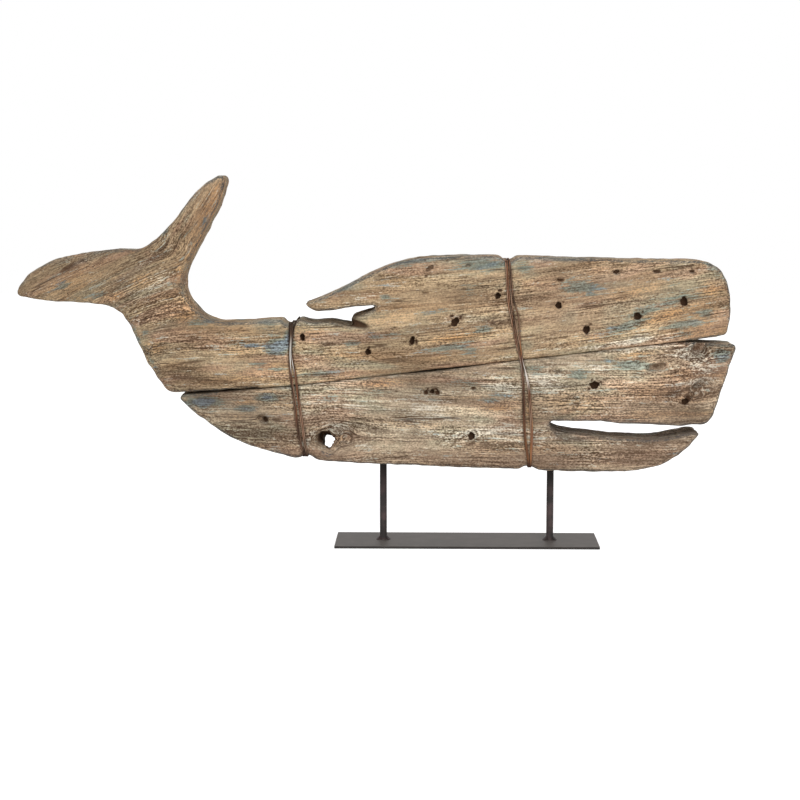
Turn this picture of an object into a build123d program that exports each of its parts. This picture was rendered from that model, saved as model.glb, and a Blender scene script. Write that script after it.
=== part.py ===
from build123d import *
import math
import os

import numpy

# Whale figurine: two old boards sawn to a sperm whale's outline, pinned along their seam, bound
# with iron wire and pushed onto two rods that are welded to a steel plate.
# X runs from the tail to the snout, Z is up, and the origin is the middle of the plate's underside.

os.makedirs("parts", exist_ok=True)

# The whale
whale_length = 808.0
whale_height = 333.0
snout_reach = 299.0
belly_height = 86.0
board_thickness = 62.0
edge_round = 4.5
edge_round_to_bend_share = 1.2

# Rounding of the sawn outline: its sharp tips, its softest bends and the bends of small cut-outs
tip_radius = 4.5
softest_radius = 1000.0
cutout_radius = 1.5
sharp_turn_degrees = 75
tangent_share = 0.45

# Old nail holes and the knot that has fallen out
nail_hole_diameter = 6.6
nail_hole_depth = 20.0
nail_hole_sides = 8
knot_hole_diameter = 14.0

# Seam between the boards
seam_gap = 2.0
dowel_diameter = 10.0
dowel_length = 60.0
dowel_clearance = 0.1
dowel_end_clearance = 0.6

# Binding wires and the notches that they lie in
wire_diameter = 1.6
wire_turns = 4
wire_pitch = 2.3
wire_clearance = 0.3
wire_corner_radius = 1.8
wire_knee_radius = 40.0
wire_sides = 6
front_wire_parting = 3.6
wire_end_length = 3.6
notch_flare = 4.0
top_notch_depth = 6.0
bottom_notch_depth = 4.5

# Stand
plate_length = 300.0
plate_width = 80.0
plate_thickness = 3.0
plate_edge_chamfer = 0.4
post_diameter = 8.0
post_spacing = 191.0
post_grip = 26.0
post_clearance = 0.06
post_tip_chamfer = 0.8
weld_leg = 4.5
weld_sweep_degrees = 76

# How far a cutter runs past what it cuts, the step at which a wire's gap is measured, and the
# difference below which two places are the same
overrun = 5.0
measuring_step = 1.0
tolerance = 0.001

# Corners of the side view, as shares of the whale's length from its tail and of its height from
# its belly. An outline runs straight between them and bends at each. The boards share the seam's
# straight stretch: the lower one starts to touch it at seam_touch_share and has a hollow further on.
seam_shares = [(0.927, 0.446), (0.396, 0.296)]
seam_touch_share = 0.430
seam_hollow_shares = [0.700, 0.600, 0.510]
upper_outline_shares = seam_shares + [
    (0.235, 0.268), (0.212, 0.267), (0.198, 0.313), (0.185, 0.362), (0.169, 0.446), (0.154, 0.522),
    (0.138, 0.556), (0.112, 0.570), (0.051, 0.576), (0.000, 0.595), (0.011, 0.648), (0.028, 0.685),
    (0.059, 0.722), (0.109, 0.741), (0.141, 0.752), (0.171, 0.747), (0.188, 0.768), (0.205, 0.801),
    (0.231, 0.872), (0.254, 0.943), (0.270, 0.977), (0.290, 1.002), (0.2955, 0.983), (0.286, 0.904),
    (0.272, 0.844), (0.256, 0.768), (0.238, 0.688), (0.233, 0.648), (0.236, 0.600), (0.246, 0.562),
    (0.262, 0.523), (0.282, 0.505), (0.310, 0.506), (0.364, 0.515), (0.400, 0.516), (0.397, 0.566),
    (0.421, 0.583), (0.450, 0.615), (0.478, 0.649), (0.506, 0.685), (0.535, 0.710), (0.563, 0.723),
    (0.605, 0.730), (0.662, 0.7305), (0.775, 0.723), (0.873, 0.717), (0.947, 0.717), (0.971, 0.703),
    (0.983, 0.668), (0.991, 0.615), (0.9935, 0.550), (0.991, 0.500), (0.988, 0.467),
]
lower_outline_shares = [
    (0.2200, 0.261), (0.265, 0.166), (0.307, 0.105), (0.350, 0.068), (0.395, 0.043), (0.479, 0.028),
    (0.592, 0.018), (0.724, 0.007), (0.801, 0.000), (0.862, 0.002), (0.895, 0.019), (0.923, 0.053),
    (0.944, 0.102), (0.9565, 0.145), (0.971, 0.190), (0.981, 0.266), (0.989, 0.333), (1.0030, 0.4345),
    (0.958, 0.4395), seam_shares[0],
]
stern_lip_shares = [(0.400, 0.294), (0.250, 0.264)]
fin_slot_shares = [
    (0.385, 0.540), (0.398, 0.517), (0.415, 0.506), (0.436, 0.513), (0.457, 0.503), (0.490, 0.490),
    (0.466, 0.513), (0.471, 0.529), (0.502, 0.551), (0.502, 0.566), (0.481, 0.564), (0.453, 0.554),
    (0.426, 0.546), (0.411, 0.551), (0.400, 0.566), (0.385, 0.566),
]
mouth_shares = [
    (0.974, 0.198), (0.966, 0.173), (0.955, 0.165), (0.929, 0.161), (0.856, 0.166), (0.834, 0.169),
    (0.812, 0.176), (0.776, 0.175), (0.744, 0.177), (0.745, 0.157), (0.756, 0.142), (0.770, 0.134),
    (0.812, 0.124), (0.830, 0.116), (0.852, 0.116), (0.881, 0.111), (0.905, 0.116), (0.931, 0.131),
    (0.944, 0.137), (0.958, 0.132), (0.980, 0.122), (0.985, 0.190),
]

# Places on the side view, in the same shares
upper_nail_shares = [
    (0.401, 0.460), (0.492, 0.410), (0.553, 0.447), (0.612, 0.511), (0.671, 0.599), (0.755, 0.567),
    (0.794, 0.485), (0.864, 0.531), (0.927, 0.581), (0.834, 0.680), (0.577, 0.692),
]
lower_nail_shares = [(0.806, 0.298), (0.636, 0.124), (0.581, 0.275), (0.931, 0.243)]
knot_front_shares = (0.4346, 0.110)
knot_back_shares = (0.4361, 0.077)
dowel_shares = {"seam_dowel_rear": 0.450, "seam_dowel_middle": 0.625, "seam_dowel_front": 0.885}
rear_top_shares = (0.382, 0.515)
rear_knee_shares = (0.3824, 0.339)
rear_bottom_shares = (0.4055, 0.043)
front_top_shares = (0.686, 0.730)
front_knee_shares = (0.704, 0.391)
front_low_knee_shares = (0.713, 0.188)
front_bottom_shares = (0.715, 0.008)

front_face = -board_thickness / 2
back_face = board_thickness / 2
full_depth = board_thickness + 2 * overrun
wire_seat = wire_diameter / 2 + wire_clearance
post_radius = post_diameter / 2
post_places = {"rear_post": -post_spacing / 2, "front_post": post_spacing / 2}


def spot(shares):
    """Place on the side view"""
    length_share, height_share = shares
    along = snout_reach - whale_length * (1 - length_share)
    return along, belly_height + whale_height * height_share


def seam_spot(length_share, drop=0):
    """Place on the seam's straight stretch, or a drop below it"""
    (end, high), (start, low) = seam_shares
    height_share = low + (high - low) * (length_share - start) / (end - start)
    along, height = spot((length_share, height_share))
    return along, height - drop


def rounded(places, sharpest):
    """Closed outline of straight lines and tangent arcs, as soft at each corner as its two sides allow"""
    corners = [Vector(*place) for place in places]
    before = corners[-1:] + corners[:-1]
    after = corners[1:] + corners[:1]
    radii = []
    for last, corner, following in zip(before, corners, after):
        turn = (corner - last).get_angle(following - corner)
        side = min((corner - last).length, (following - corner).length)
        radius = tangent_share * side / math.tan(math.radians(turn) / 2)
        radii.append(min(radius, sharpest if turn > sharp_turn_degrees else softest_radius))
    return FilletPolyline(*corners, radius=radii, close=True)


def sawn(outline, thickness):
    """Board with a side view, as thick in front of the middle as behind it"""
    side_view = Plane.XZ * make_face(outline)
    return Pos(0, thickness / 2, 0) * extrude(side_view, amount=thickness)


def level_edges(board):
    """Edges that lie in a plane parallel to the board's faces"""
    return board.edges().filter_by(lambda edge: math.isclose((edge @ 0).Y, (edge @ 1).Y, abs_tol=tolerance))


def worn(board):
    """Board whose front and back edges wear has rounded, in three flats that touch the round's circle

    The round is at most a little larger than the outline's tightest bend.
    """
    tightest = min(edge.radius for edge in level_edges(board).filter_by(GeomType.CIRCLE))
    wear = min(edge_round, edge_round_to_bend_share * tightest)
    middle_flat = wear * (2 - math.sqrt(2))
    outer_flats = wear * (1 - math.tan(math.pi / 16)) - middle_flat
    board = chamfer(level_edges(board), middle_flat)
    return chamfer(level_edges(board), outer_flats)


def nail_holes(places):
    """Holes in the front face, worn by old square nails to a rough ring of flats"""
    floor = RegularPolygon(nail_hole_diameter / 2, nail_hole_sides)
    hole = Rot(X=90) * extrude(floor, amount=nail_hole_depth + overrun)
    return [Pos(x, front_face + nail_hole_depth, z) * hole for x, z in map(spot, places)]


def knot_hole():
    """Slanted hole right through the belly"""
    front_x, front_z = spot(knot_front_shares)
    back_x, back_z = spot(knot_back_shares)
    front = Vector(front_x, front_face, front_z)
    back = Vector(back_x, back_face, back_z)
    way = (back - front).normalized()
    start = Plane(origin=front - way * overrun, z_dir=way)
    length = (back - front).length + 2 * overrun
    return extrude(start * Circle(knot_hole_diameter / 2), amount=length)


def notch(shares, depth, side):
    """Cutter for a wire's notch: side is 1 on a top edge and -1 on a belly"""
    x, edge = spot(shares)
    floor_half = wire_turns * wire_pitch / 2
    mouth_half = floor_half + notch_flare * (depth + overrun) / depth
    floor = edge - side * depth
    mouth = edge + side * overrun
    corners = [
        (x - floor_half, floor), (x - mouth_half, mouth), (x + mouth_half, mouth), (x + floor_half, floor)
    ]
    return sawn(Polyline(*corners, close=True), full_depth)


def dowel(length_share, clearance, end_clearance):
    """Upright dowel across the seam, or the hole that it fills"""
    x, z = seam_spot(length_share)
    return Pos(x, 0, z) * Cylinder(dowel_diameter / 2 + clearance, dowel_length + 2 * end_clearance)


def dowel_holes():
    return [dowel(share, dowel_clearance, dowel_end_clearance) for share in dowel_shares.values()]


def post_height(x):
    """Height of a rod's tip, at which the blind hole for it ends, from the belly's height there"""
    corners = [spot(shares) for shares in lower_outline_shares]
    for (left, low), (right, high) in zip(corners, corners[1:]):
        if left <= x <= right:
            return low + (high - low) * (x - left) / (right - left) + post_grip


def post_hole(x):
    length = post_height(x) - plate_thickness
    hole = Cylinder(post_radius + post_clearance, length, align=(Align.CENTER, Align.CENTER, Align.MIN))
    return Pos(x, 0, plate_thickness) * hole


def upper_plank():
    board = worn(sawn(rounded(map(spot, upper_outline_shares), tip_radius), board_thickness))
    board -= sawn(rounded(map(spot, fin_slot_shares), cutout_radius), full_depth)
    board -= notch(rear_top_shares, top_notch_depth, 1)
    board -= notch(front_top_shares, top_notch_depth, 1)
    board -= nail_holes(upper_nail_shares)
    board -= dowel_holes()
    return board


def lower_plank():
    hollow_end, hollow_middle, hollow_start = seam_hollow_shares
    places = [spot(shares) for shares in lower_outline_shares]
    places += [seam_spot(hollow_end), seam_spot(hollow_middle, seam_gap), seam_spot(hollow_start)]
    places += [seam_spot(seam_touch_share), *map(spot, stern_lip_shares)]
    board = worn(sawn(rounded(places, tip_radius), board_thickness))
    board -= sawn(rounded(map(spot, mouth_shares), cutout_radius), full_depth)
    board -= notch(rear_bottom_shares, bottom_notch_depth, -1)
    board -= notch(front_bottom_shares, bottom_notch_depth, -1)
    board -= nail_holes(lower_nail_shares)
    board -= knot_hole()
    board -= dowel_holes()
    board -= [post_hole(x) for x in post_places.values()]
    return board


def binding_wire(top_shares, knees, bottom_shares):
    """One wire wound round both boards, from one end that stands off their back to the other

    A knee is a place where the turns bend on the front face, and how far it parts them in the middle.
    """
    top_x, top_edge = spot(top_shares)
    bottom_x, bottom_edge = spot(bottom_shares)
    top = top_edge - top_notch_depth + wire_seat
    bottom = bottom_edge + bottom_notch_depth - wire_seat
    front = front_face - wire_seat
    back = back_face + wire_seat
    half_way = (top + bottom) / 2
    middle_x = (top_x + bottom_x) / 2
    reach = wire_pitch * wire_turns / 2
    corners = [(middle_x - reach, back + wire_end_length, half_way), (middle_x - reach, back, half_way)]
    radii = [wire_corner_radius]
    for turn in range(wire_turns):
        shift = wire_pitch * (turn - (wire_turns - 1) / 2)
        corners += [(top_x + shift, back, top), (top_x + shift, front, top)]
        for knee_shares, parting in knees:
            knee_x, knee_z = spot(knee_shares)
            corners.append((knee_x + shift + math.copysign(parting / 2, shift), front, knee_z))
        corners += [(bottom_x + shift, front, bottom), (bottom_x + shift, back, bottom)]
        radii += [wire_corner_radius] * 2 + [wire_knee_radius] * len(knees) + [wire_corner_radius] * 2
    corners += [(middle_x + reach, back, half_way), (middle_x + reach, back + wire_end_length, half_way)]
    radii += [wire_corner_radius]
    path = FilletPolyline(*corners, radius=radii)
    section = Plane(origin=corners[0], z_dir=(0, -1, 0)) * RegularPolygon(wire_diameter / 2, wire_sides)
    wire = sweep(section, path=path)
    print("volume over section times length", round(wire.volume / (section.area * path.length), 4))
    return wire, path


def wire_gap(path):
    """Least gap between two stretches of a wire, measured on points along it"""
    count = int(path.length / measuring_step)
    points = numpy.array([tuple(path @ (i / count)) for i in range(count + 1)])
    distances = numpy.linalg.norm(points[:, None] - points[None, :], axis=2)
    near = int(2 * math.pi * wire_corner_radius / measuring_step)
    apart = numpy.abs(numpy.subtract.outer(range(count + 1), range(count + 1))) > near
    return distances[apart].min() - wire_diameter


def base_plate():
    plate = Pos(0, 0, plate_thickness / 2) * Box(plate_length, plate_width, plate_thickness)
    return chamfer(plate.edges(), plate_edge_chamfer)


def post(x):
    length = post_height(x) - plate_thickness
    rod = Cylinder(post_radius, length, align=(Align.CENTER, Align.CENTER, Align.MIN))
    rod = chamfer(rod.edges().group_by(Axis.Z)[-1], post_tip_chamfer)
    return Pos(x, 0, plate_thickness) * rod


def post_welds(x):
    """Two tack welds in the corner between a rod and the plate, at its left and right"""
    profile = Plane.XZ * make_face(
        Polyline((post_radius, 0), (post_radius + weld_leg, 0), (post_radius, weld_leg), close=True)
    )
    weld = revolve(profile, Axis.Z, weld_sweep_degrees)
    right = Rot(Z=-weld_sweep_degrees / 2) * weld
    return Pos(x, 0, plate_thickness) * Compound([*right.solids(), *(Rot(Z=180) * right).solids()])


nodes = {
    "upper_plank": upper_plank(),
    "lower_plank": lower_plank(),
    "base_plate": base_plate(),
}
for name, share in dowel_shares.items():
    nodes[name] = dowel(share, 0, 0)
for name, x in post_places.items():
    nodes[name] = post(x)
    nodes[name + "_welds"] = post_welds(x)
bindings = {
    "rear_binding_wire": (rear_top_shares, [(rear_knee_shares, 0)], rear_bottom_shares),
    "front_binding_wire": (
        front_top_shares,
        [(front_knee_shares, 0), (front_low_knee_shares, front_wire_parting)],
        front_bottom_shares,
    ),
}
for name, places in bindings.items():
    nodes[name], route = binding_wire(*places)
    print(name, "length", round(route.length), "least gap to itself", round(wire_gap(route), 2))

for name, solid in nodes.items():
    export_step(solid, f"parts/{name}.step")
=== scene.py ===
import math
from contextlib import contextmanager

import bmesh
import bpy
import numpy as np
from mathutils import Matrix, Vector, noise
from mathutils.kdtree import KDTree


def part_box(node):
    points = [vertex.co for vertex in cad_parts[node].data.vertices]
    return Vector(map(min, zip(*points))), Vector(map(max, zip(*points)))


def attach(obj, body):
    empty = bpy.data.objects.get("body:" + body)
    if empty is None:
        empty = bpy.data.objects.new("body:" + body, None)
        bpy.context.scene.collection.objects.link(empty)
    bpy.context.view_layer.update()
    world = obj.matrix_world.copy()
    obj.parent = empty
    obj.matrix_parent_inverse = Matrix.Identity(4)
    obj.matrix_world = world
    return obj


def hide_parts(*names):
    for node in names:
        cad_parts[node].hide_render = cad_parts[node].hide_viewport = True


bl_info = {
    "name": "Old board whale",
    "version": (1, 0, 0),
    "blender": (4, 5, 0),
    "location": "3D View > Sidebar > Whale",
    "description": "Dresses a whale sawn from two old boards, its binding wires and its welded stand",
    "category": "Object",
}

# Lengths are metres. X runs from the tail to the snout, Y away from the viewer and Z up.

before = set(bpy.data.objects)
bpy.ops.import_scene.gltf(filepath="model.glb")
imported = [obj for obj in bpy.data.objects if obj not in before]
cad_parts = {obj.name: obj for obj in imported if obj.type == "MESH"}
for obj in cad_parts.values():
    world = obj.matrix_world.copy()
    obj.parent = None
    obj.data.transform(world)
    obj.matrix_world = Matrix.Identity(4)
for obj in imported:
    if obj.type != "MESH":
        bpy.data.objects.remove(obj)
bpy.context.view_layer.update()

MM = 0.001
# Y of the boards' front faces
FRONT = -0.031
# Added to a radius before anything is divided by it
TINY = 0.000001
# How far the marks on the back lie from those on the front
BACK_SHIFT = (0.057, -0.012)


def paint(red, green, blue):
    """Linear colour with alpha from a display colour of 0 to 255"""
    linear = [((c / 255 + 0.055) / 1.055) ** 2.4 if c > 10 else c / 255 / 12.92 for c in (red, green, blue)]
    return (*linear, 1.0)


def solid(colour):
    """Colour with alpha from a setting's three values"""
    return (*colour, 1.0)


# Marks on the front faces, in millimetres: x, z, half length, half height, tilt in degrees, strength.
# The first list of each pair is on the upper board, the second on the lower.

UPPER_PAINT = [
    (-210, 229, 15, 8, 14, 2.2), (-201, 236, 5, 9, 0, 2.0), (-296, 255, 14, 4, 0, 0.7),
    (-243, 229, 10, 3, 2, 1.0), (-223, 254, 13, 4, 0, 0.8), (-232, 207, 10, 6, 4, 0.8),
    (-213, 203, 13, 5, 0, 0.6), (-132, 231, 11, 5, 5, 0.8), (-106, 240, 16, 5, 4, 0.7),
    (-164, 198, 26, 4, 4, 0.8), (-87, 243, 11, 3, 3, 0.6), (-92, 285, 7, 3, 6, 0.9),
    (-70, 322, 30, 7, 5, 0.7), (-130, 300, 30, 5, 30, 0.8), (17, 320, 26, 7, 0, 1.0),
    (-1, 293, 14, 8, 8, 0.5), (16, 247, 9, 3, 6, 0.8), (-20, 228, 26, 5, 12, 0.9), (2, 223, 10, 5, 8, 0.6),
    (-37, 268, 27, 3, 8, 0.7), (122, 294, 24, 7, 0, 1.0), (135, 289, 7, 3, 0, 1.2),
    (62, 317, 12, 5, 0, 0.9), (174, 252, 28, 6, 17, 0.9), (198, 268, 22, 6, 15, 0.8),
    (232, 281, 28, 8, 8, 0.7), (239, 254, 24, 7, 8, 1.1), (244, 243, 14, 3, 12, 0.9),
    (265, 267, 9, 5, 0, 0.8), (228, 301, 18, 4, 5, 0.6), (272, 316, 14, 6, -40, 0.7),
    (-453, 296, 8, 4, 27, 1.1), (-416, 284, 15, 4, 14, 0.8), (-375, 332, 9, 3, 20, 0.4),
    (-339, 355, 10, 3, 48, 0.7), (-317, 353, 10, 2.5, 40, 0.6), (-293, 369, 5, 3, 60, 0.7),
    (-314, 315, 5, 5, 70, 0.5), (-361, 245, 6, 3, 20, 0.7), (-300, 255, 16, 4, -4, 0.8),
    (-372, 240, 18, 2.5, -62, 0.7), (-352, 206, 22, 2.5, -56, 0.7), (-355, 341, 14, 2.5, 40, 0.5),
    (-255, 232, 16, 2.5, 2, 0.8), (-330, 300, 14, 3, 30, 0.4),
]
LOWER_PAINT = [
    (-297, 166, 18, 5, 3, 2.2), (-225, 171, 12, 4, 3, 1.6), (-206, 174, 9, 4, 3, 0.6),
    (-249, 158, 12, 4, 0, 1.3), (-4, 189, 22, 8, 0, 0.6), (29, 172, 15, 6, 0, 0.6),
    (74, 204, 13, 5, 0, 0.8), (18, 124, 14, 4, 0, 0.5), (124, 197, 10, 6, 0, 1.0),
    (160, 213, 30, 4, 0, 0.6), (188, 208, 26, 6, -5, 1.1), (283, 219, 9, 8, -10, 1.0),
    (-100, 176, 30, 4, 4, 0.4), (-150, 172, 16, 4, 4, 0.4),
]
UPPER_RUST = [
    (-11, 240, 32, 5, 10, 1.2), (-300, 346, 18, 5, 62, 1.2), (-309, 331, 12, 5, 58, 1.0),
    (-323, 311, 14, 6, 80, 0.9), (-283, 401, 14, 6, 60, 0.9), (-365, 301, 14, 7, 28, 1.0),
    (-394, 284, 14, 5, 10, 0.9), (-351, 227, 14, 9, 0, 1.0), (-317, 262, 14, 12, 30, 0.8),
    (-440, 282, 20, 3, -4, 0.8), (269, 292, 12, 12, 0, 0.8), (225, 266, 42, 6, 17, 0.9),
    (190, 292, 36, 7, 12, 0.6), (-147, 217, 34, 9, 3, 0.2), (-250, 195, 40, 8, 3, 0.4),
    (-80, 262, 44, 9, 6, 0.4), (60, 300, 40, 8, 3, 0.3), (-400, 305, 26, 5, 26, 0.5),
    (150, 240, 44, 5, 9, 0.5), (-85, 300, 20, 6, 6, 0.5), (262, 262, 16, 22, 0, 0.6),
    (-440, 300, 50, 14, 20, 0.6), (-285, 385, 44, 12, 60, 1.0), (-300, 268, 34, 26, 0, 0.7),
]
LOWER_RUST = [
    (188, 220, 20, 5, 6, 0.9), (-95, 187, 24, 5, 3, 0.9), (-249, 165, 14, 3, 3, 0.8),
    (35, 160, 20, 5, 0, 0.7), (120, 165, 40, 14, -4, 0.5), (60, 113, 50, 6, 0, 0.5),
    (-60, 140, 50, 5, -3, 0.3), (200, 178, 40, 12, 0, 0.4), (69, 150, 5, 28, 0, 0.9),
]
# Whitewash, and at x 200, z 226 a painted highlight along the lower board's edge at the seam
LOWER_WHITE = [
    (-47, 159, 34, 14, 0, 0.9), (26, 132, 44, 11, 0, 0.9), (85, 192, 26, 12, 0, 1.0),
    (39, 184, 26, 10, 0, 0.8), (-140, 160, 46, 10, 0, 0.6), (250, 220, 30, 7, -6, 0.9),
    (48, 133, 26, 7, 0, 0.8), (205, 128, 50, 7, 0, 0.5), (262, 196, 20, 12, 35, 1.0),
    (-146, 132, 24, 5, 2, 0.8), (150, 208, 40, 7, 4, 0.6), (-120, 142, 30, 5, 0, 0.5),
    (244, 216, 18, 3, -30, 0.9), (236, 184, 4, 14, -30, 0.8), (268, 196, 12, 3, 50, 0.9),
    (262, 180, 12, 2.5, 20, 0.8), (200, 226, 40, 2.5, 6, 0.7), (-181, 121, 8, 4, 30, 1.5),
    (-174, 131, 9, 3, 24, 1.3), (-150, 140, 26, 2.5, 8, 0.9), (-120, 118, 26, 2.5, -6, 0.8),
    (252, 232, 16, 3, 30, 1.0), (100, 125, 60, 6, 0, 0.4),
]
# Whitewash, and at x 190, z 236 a painted highlight along the upper board's edge at the seam
UPPER_WHITE = [
    (190, 236, 70, 3.5, 9, 1.0), (-340, 300, 40, 20, 28, 0.3), (20, 264, 50, 6, 7, 0.25),
    (-100, 296, 50, 14, 20, 0.3),
]
UPPER_GLOOM = [
    (-447, 316, 15, 5, 28, 2.4), (-394, 294, 20, 6, 27, 1.6), (-351, 269, 26, 12, 30, 1.1),
    (-339, 212, 26, 16, 0, 0.6), (-380, 318, 40, 4, 24, 0.4), (-318, 340, 16, 3, 28, 0.7),
    (-305, 384, 26, 4, 60, 0.8), (-345, 330, 20, 5, 30, 0.7), (-250, 184, 60, 5, 3, 0.4),
    (-300, 240, 20, 5, 0, 0.6), (-120, 246, 30, 3, 3, 0.4), (100, 262, 60, 2.5, 6, 0.7),
    (140, 278, 60, 2.5, 9, 0.7), (70, 270, 40, 2, 3, 0.6), (-60, 304, 50, 3, 4, 0.25),
    (30, 276, 40, 5, 0, 0.3), (230, 240, 40, 3, 10, 0.7), (100, 243, 80, 2, 6, 0.5),
    (-328, 274, 46, 24, 30, 0.7), (-300, 225, 40, 3, 0, 1.2), (-30, 268, 60, 3, 6, 0.3),
    (-100, 246, 60, 3, 3, 0.4),
]
LOWER_GLOOM = [
    (-250, 122, 70, 14, -26, 0.8), (-190, 104, 30, 6, -10, 0.7), (170, 104, 70, 10, 3, 1.0),
    (-138, 129, 17, 9, 8, 2.0), (-160, 136, 15, 4, 14, 1.0), (-176, 124, 9, 6, 0, 0.9),
    (-110, 128, 26, 8, 2, 0.7), (90, 130, 40, 5, 0, 0.6), (120, 150, 30, 8, 0, 0.4),
    (-20, 120, 90, 3, 0, 0.5), (140, 122, 60, 4, -2, 0.5), (240, 150, 30, 10, 30, 0.5),
    (60, 143, 40, 6, 0, 0.4), (-60, 102, 80, 6, -2, 0.4), (252, 180, 24, 20, 30, 0.7),
    (262, 210, 16, 10, -20, 0.6),
]

# Hollows worn into the front faces: x, z, half length, half height, tilt in degrees, depth
UPPER_HOLLOWS = [
    (132.8, 247.6, 9, 6, 10, 1.6), (101.1, 274.9, 9, 6, 10, 1.2), (189.3, 262.8, 9, 7, 10, 1.8),
    (240, 279.6, 9, 7, 10, 1.6), (33.4, 285.4, 8, 6, 5, 1.2), (-14.4, 256.3, 9, 8, 10, 2.0),
    (-62.4, 234.9, 8, 6, 5, 1.4), (-111.6, 222.5, 8, 6, 5, 1.4), (-184.9, 239.2, 7, 7, 0, 1.2),
    (165.2, 312.3, 9, 5, 5, 2.2), (-42.4, 316.5, 12, 4, 30, 2.4), (102, 303, 7, 2.5, 0, 1.6),
    (249, 313, 5, 3, 0, 1.6), (210, 313, 9, 3, 0, 1.2), (135, 290, 8, 3, 0, 1.2), (-3, 318, 6, 4, 0, 1.6),
    (28, 256, 8, 3, 0, 2.0), (-46, 290, 9, 3, 0, 1.2), (-84, 249, 8, 3, 20, 1.2), (-164, 225, 4, 3, 0, 1.4),
    (150, 285, 60, 3, 9, 0.8), (100, 262, 70, 2.5, 5, 0.9), (-30, 302, 60, 2.5, 4, 0.8),
    (0, 210, 60, 2.5, 8, 0.6), (-330, 285, 40, 4, 28, 0.9), (-350, 268, 36, 3, 28, 0.9),
    (-390, 300, 40, 3, 25, 0.8), (-335, 320, 44, 3, 28, 0.8), (-320, 345, 30, 3, 28, 0.8),
    (230, 240, 50, 3, 11, 1.2),
]
LOWER_HOLLOWS = [
    (142, 185.3, 10, 7, 5, 1.8), (4.7, 127.2, 9, 6, 0, 1.8), (-47, 178.5, 6, 4, 20, 4.0),
    (-36.5, 178, 6, 4, 0, 5.0), (243.3, 167, 6, 4, 30, 2.5), (252, 178, 15, 5, 48, 2.2),
    (258, 182, 16, 7, 30, 2.2), (-163, 123, 16, 8, 8, 9.0), (-140, 126, 26, 9, 2, 4.0),
    (-124, 127, 18, 6, 4, 2.6), (-230, 146, 9, 5, -20, 2.6), (6.5, 181, 5, 3, 0, 2.0),
    (101, 202.5, 6, 3, 0, 2.0), (212, 206, 16, 6, 12, 5.0), (256, 221, 13, 10, 60, 6.0),
    (240, 214, 30, 5, -14, 1.6), (262, 205, 20, 4, -40, 2.0), (268, 188, 18, 5, 40, 1.8),
    (246, 205, 6, 2.5, -40, 2.2), (262, 216, 5, 3, 30, 2.6), (271, 200, 6, 2.5, 50, 2.2),
    (238, 190, 8, 2, 30, 2.0), (262, 190, 7, 2.5, 45, 2.6), (251, 160, 6, 3, 20, 2.2),
    (268, 175, 5, 3, 60, 2.0), (100, 143, 70, 3, 0, 0.8), (-60, 150, 90, 2.5, -2, 0.8),
    (40, 120, 80, 2.5, 0, 0.9), (180, 150, 50, 3, -2, 0.8), (-120, 110, 50, 3, 0, 0.8),
    (180, 118, 50, 3, 0, 0.8),
]

# Old nail holes in the front faces, torn wider than the nails: x, z, half width, half height, tilt in degrees
# and how much of its depth each hole has kept
UPPER_NAILS = [
    (-184.9, 239.2, 2.9, 4.5, 6, 0.45), (-111.6, 222.5, 3.4, 3.7, 0, 0.45),
    (-62.4, 234.9, 2.7, 4.5, -18, 0.45), (-14.4, 256.3, 3.7, 5.8, -36, 0.45),
    (33.4, 285.4, 3.3, 4.0, -30, 0.45), (101.1, 274.9, 4.1, 4.5, 20, 0.45),
    (132.8, 247.6, 4.1, 5.0, -12, 0.45), (189.3, 262.8, 4.7, 4.9, 40, 0.45),
    (240.0, 279.6, 4.4, 5.6, 8, 0.45), (165.2, 312.3, 3.6, 2.2, 10, 0.16),
    (-42.4, 316.5, 2.4, 5.6, -52, 0.16),
]
LOWER_NAILS = [
    (142.0, 185.3, 5.4, 4.4, 10, 0.45), (4.7, 127.2, 3.8, 4.8, -15, 0.34),
    (-39.9, 177.5, 3.2, 2.6, 0, 0.45), (243.3, 167.0, 4.4, 3.4, 30, 0.45),
]
NAIL_RADIUS = 2.6

# Small pits beside the holes and in the grain: x, z, half length, half height, tilt, depth, darkness of the
# painted shade
UPPER_PITS = [
    (-110.6, 227.2, 1.8, 1.5, 0, 2.5, 0.9), (-57.6, 234.4, 1.2, 2.8, 10, 2.5, 0.9),
    (-18.0, 263.0, 2.6, 1.4, 10, 2.0, 0.8), (-8.2, 261.0, 1.6, 2.2, -20, 2.0, 0.7),
    (-20.4, 251.6, 1.8, 1.4, 0, 1.5, 0.6), (35.6, 291.4, 2.2, 1.5, 0, 2.0, 0.8),
    (26.7, 255.4, 4.0, 1.5, 3, 1.6, 0.5), (-47.3, 288.8, 3.6, 1.3, 3, 1.4, 0.45),
    (1.0, 320.0, 3.6, 2.0, 10, 1.6, 0.4), (-2.9, 305.9, 2.4, 1.4, 0, 1.4, 0.45),
    (-83.2, 248.3, 3.0, 1.4, 30, 1.4, 0.45), (-48.1, 324.7, 1.8, 1.2, 0, 1.2, 0.4),
    (-23.2, 324.0, 2.2, 1.4, 40, 1.2, 0.4), (-163.6, 224.6, 2.2, 1.7, 0, 1.5, 0.4),
    (-46.6, 307.4, 1.8, 1.1, 0, 1.4, 0.6), (165.2, 312.3, 4.4, 2.8, 5, 1.5, 0.5),
    (209.5, 313.0, 4.0, 1.8, 0, 2.2, 0.8), (248.5, 313.0, 3.0, 1.7, 0, 2.2, 0.8),
    (102.5, 303.2, 4.0, 1.6, 0, 2.2, 0.8), (106.2, 278.6, 1.6, 1.3, 0, 1.5, 0.6),
    (194.6, 267.6, 1.6, 1.4, 0, 1.5, 0.6), (136.8, 254.0, 1.8, 1.4, 0, 1.5, 0.6),
    (-134.0, 256.0, 23.0, 4.4, -14, 7.0, 0.8), (262.0, 232.0, 5.0, 2.2, 10, 2.0, 0.5),
    (-446.0, 318.0, 9.0, 2.2, 30, 0.8, 0.5), (-451.0, 313.5, 6.0, 1.6, 28, 0.6, 0.4),
]
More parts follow.
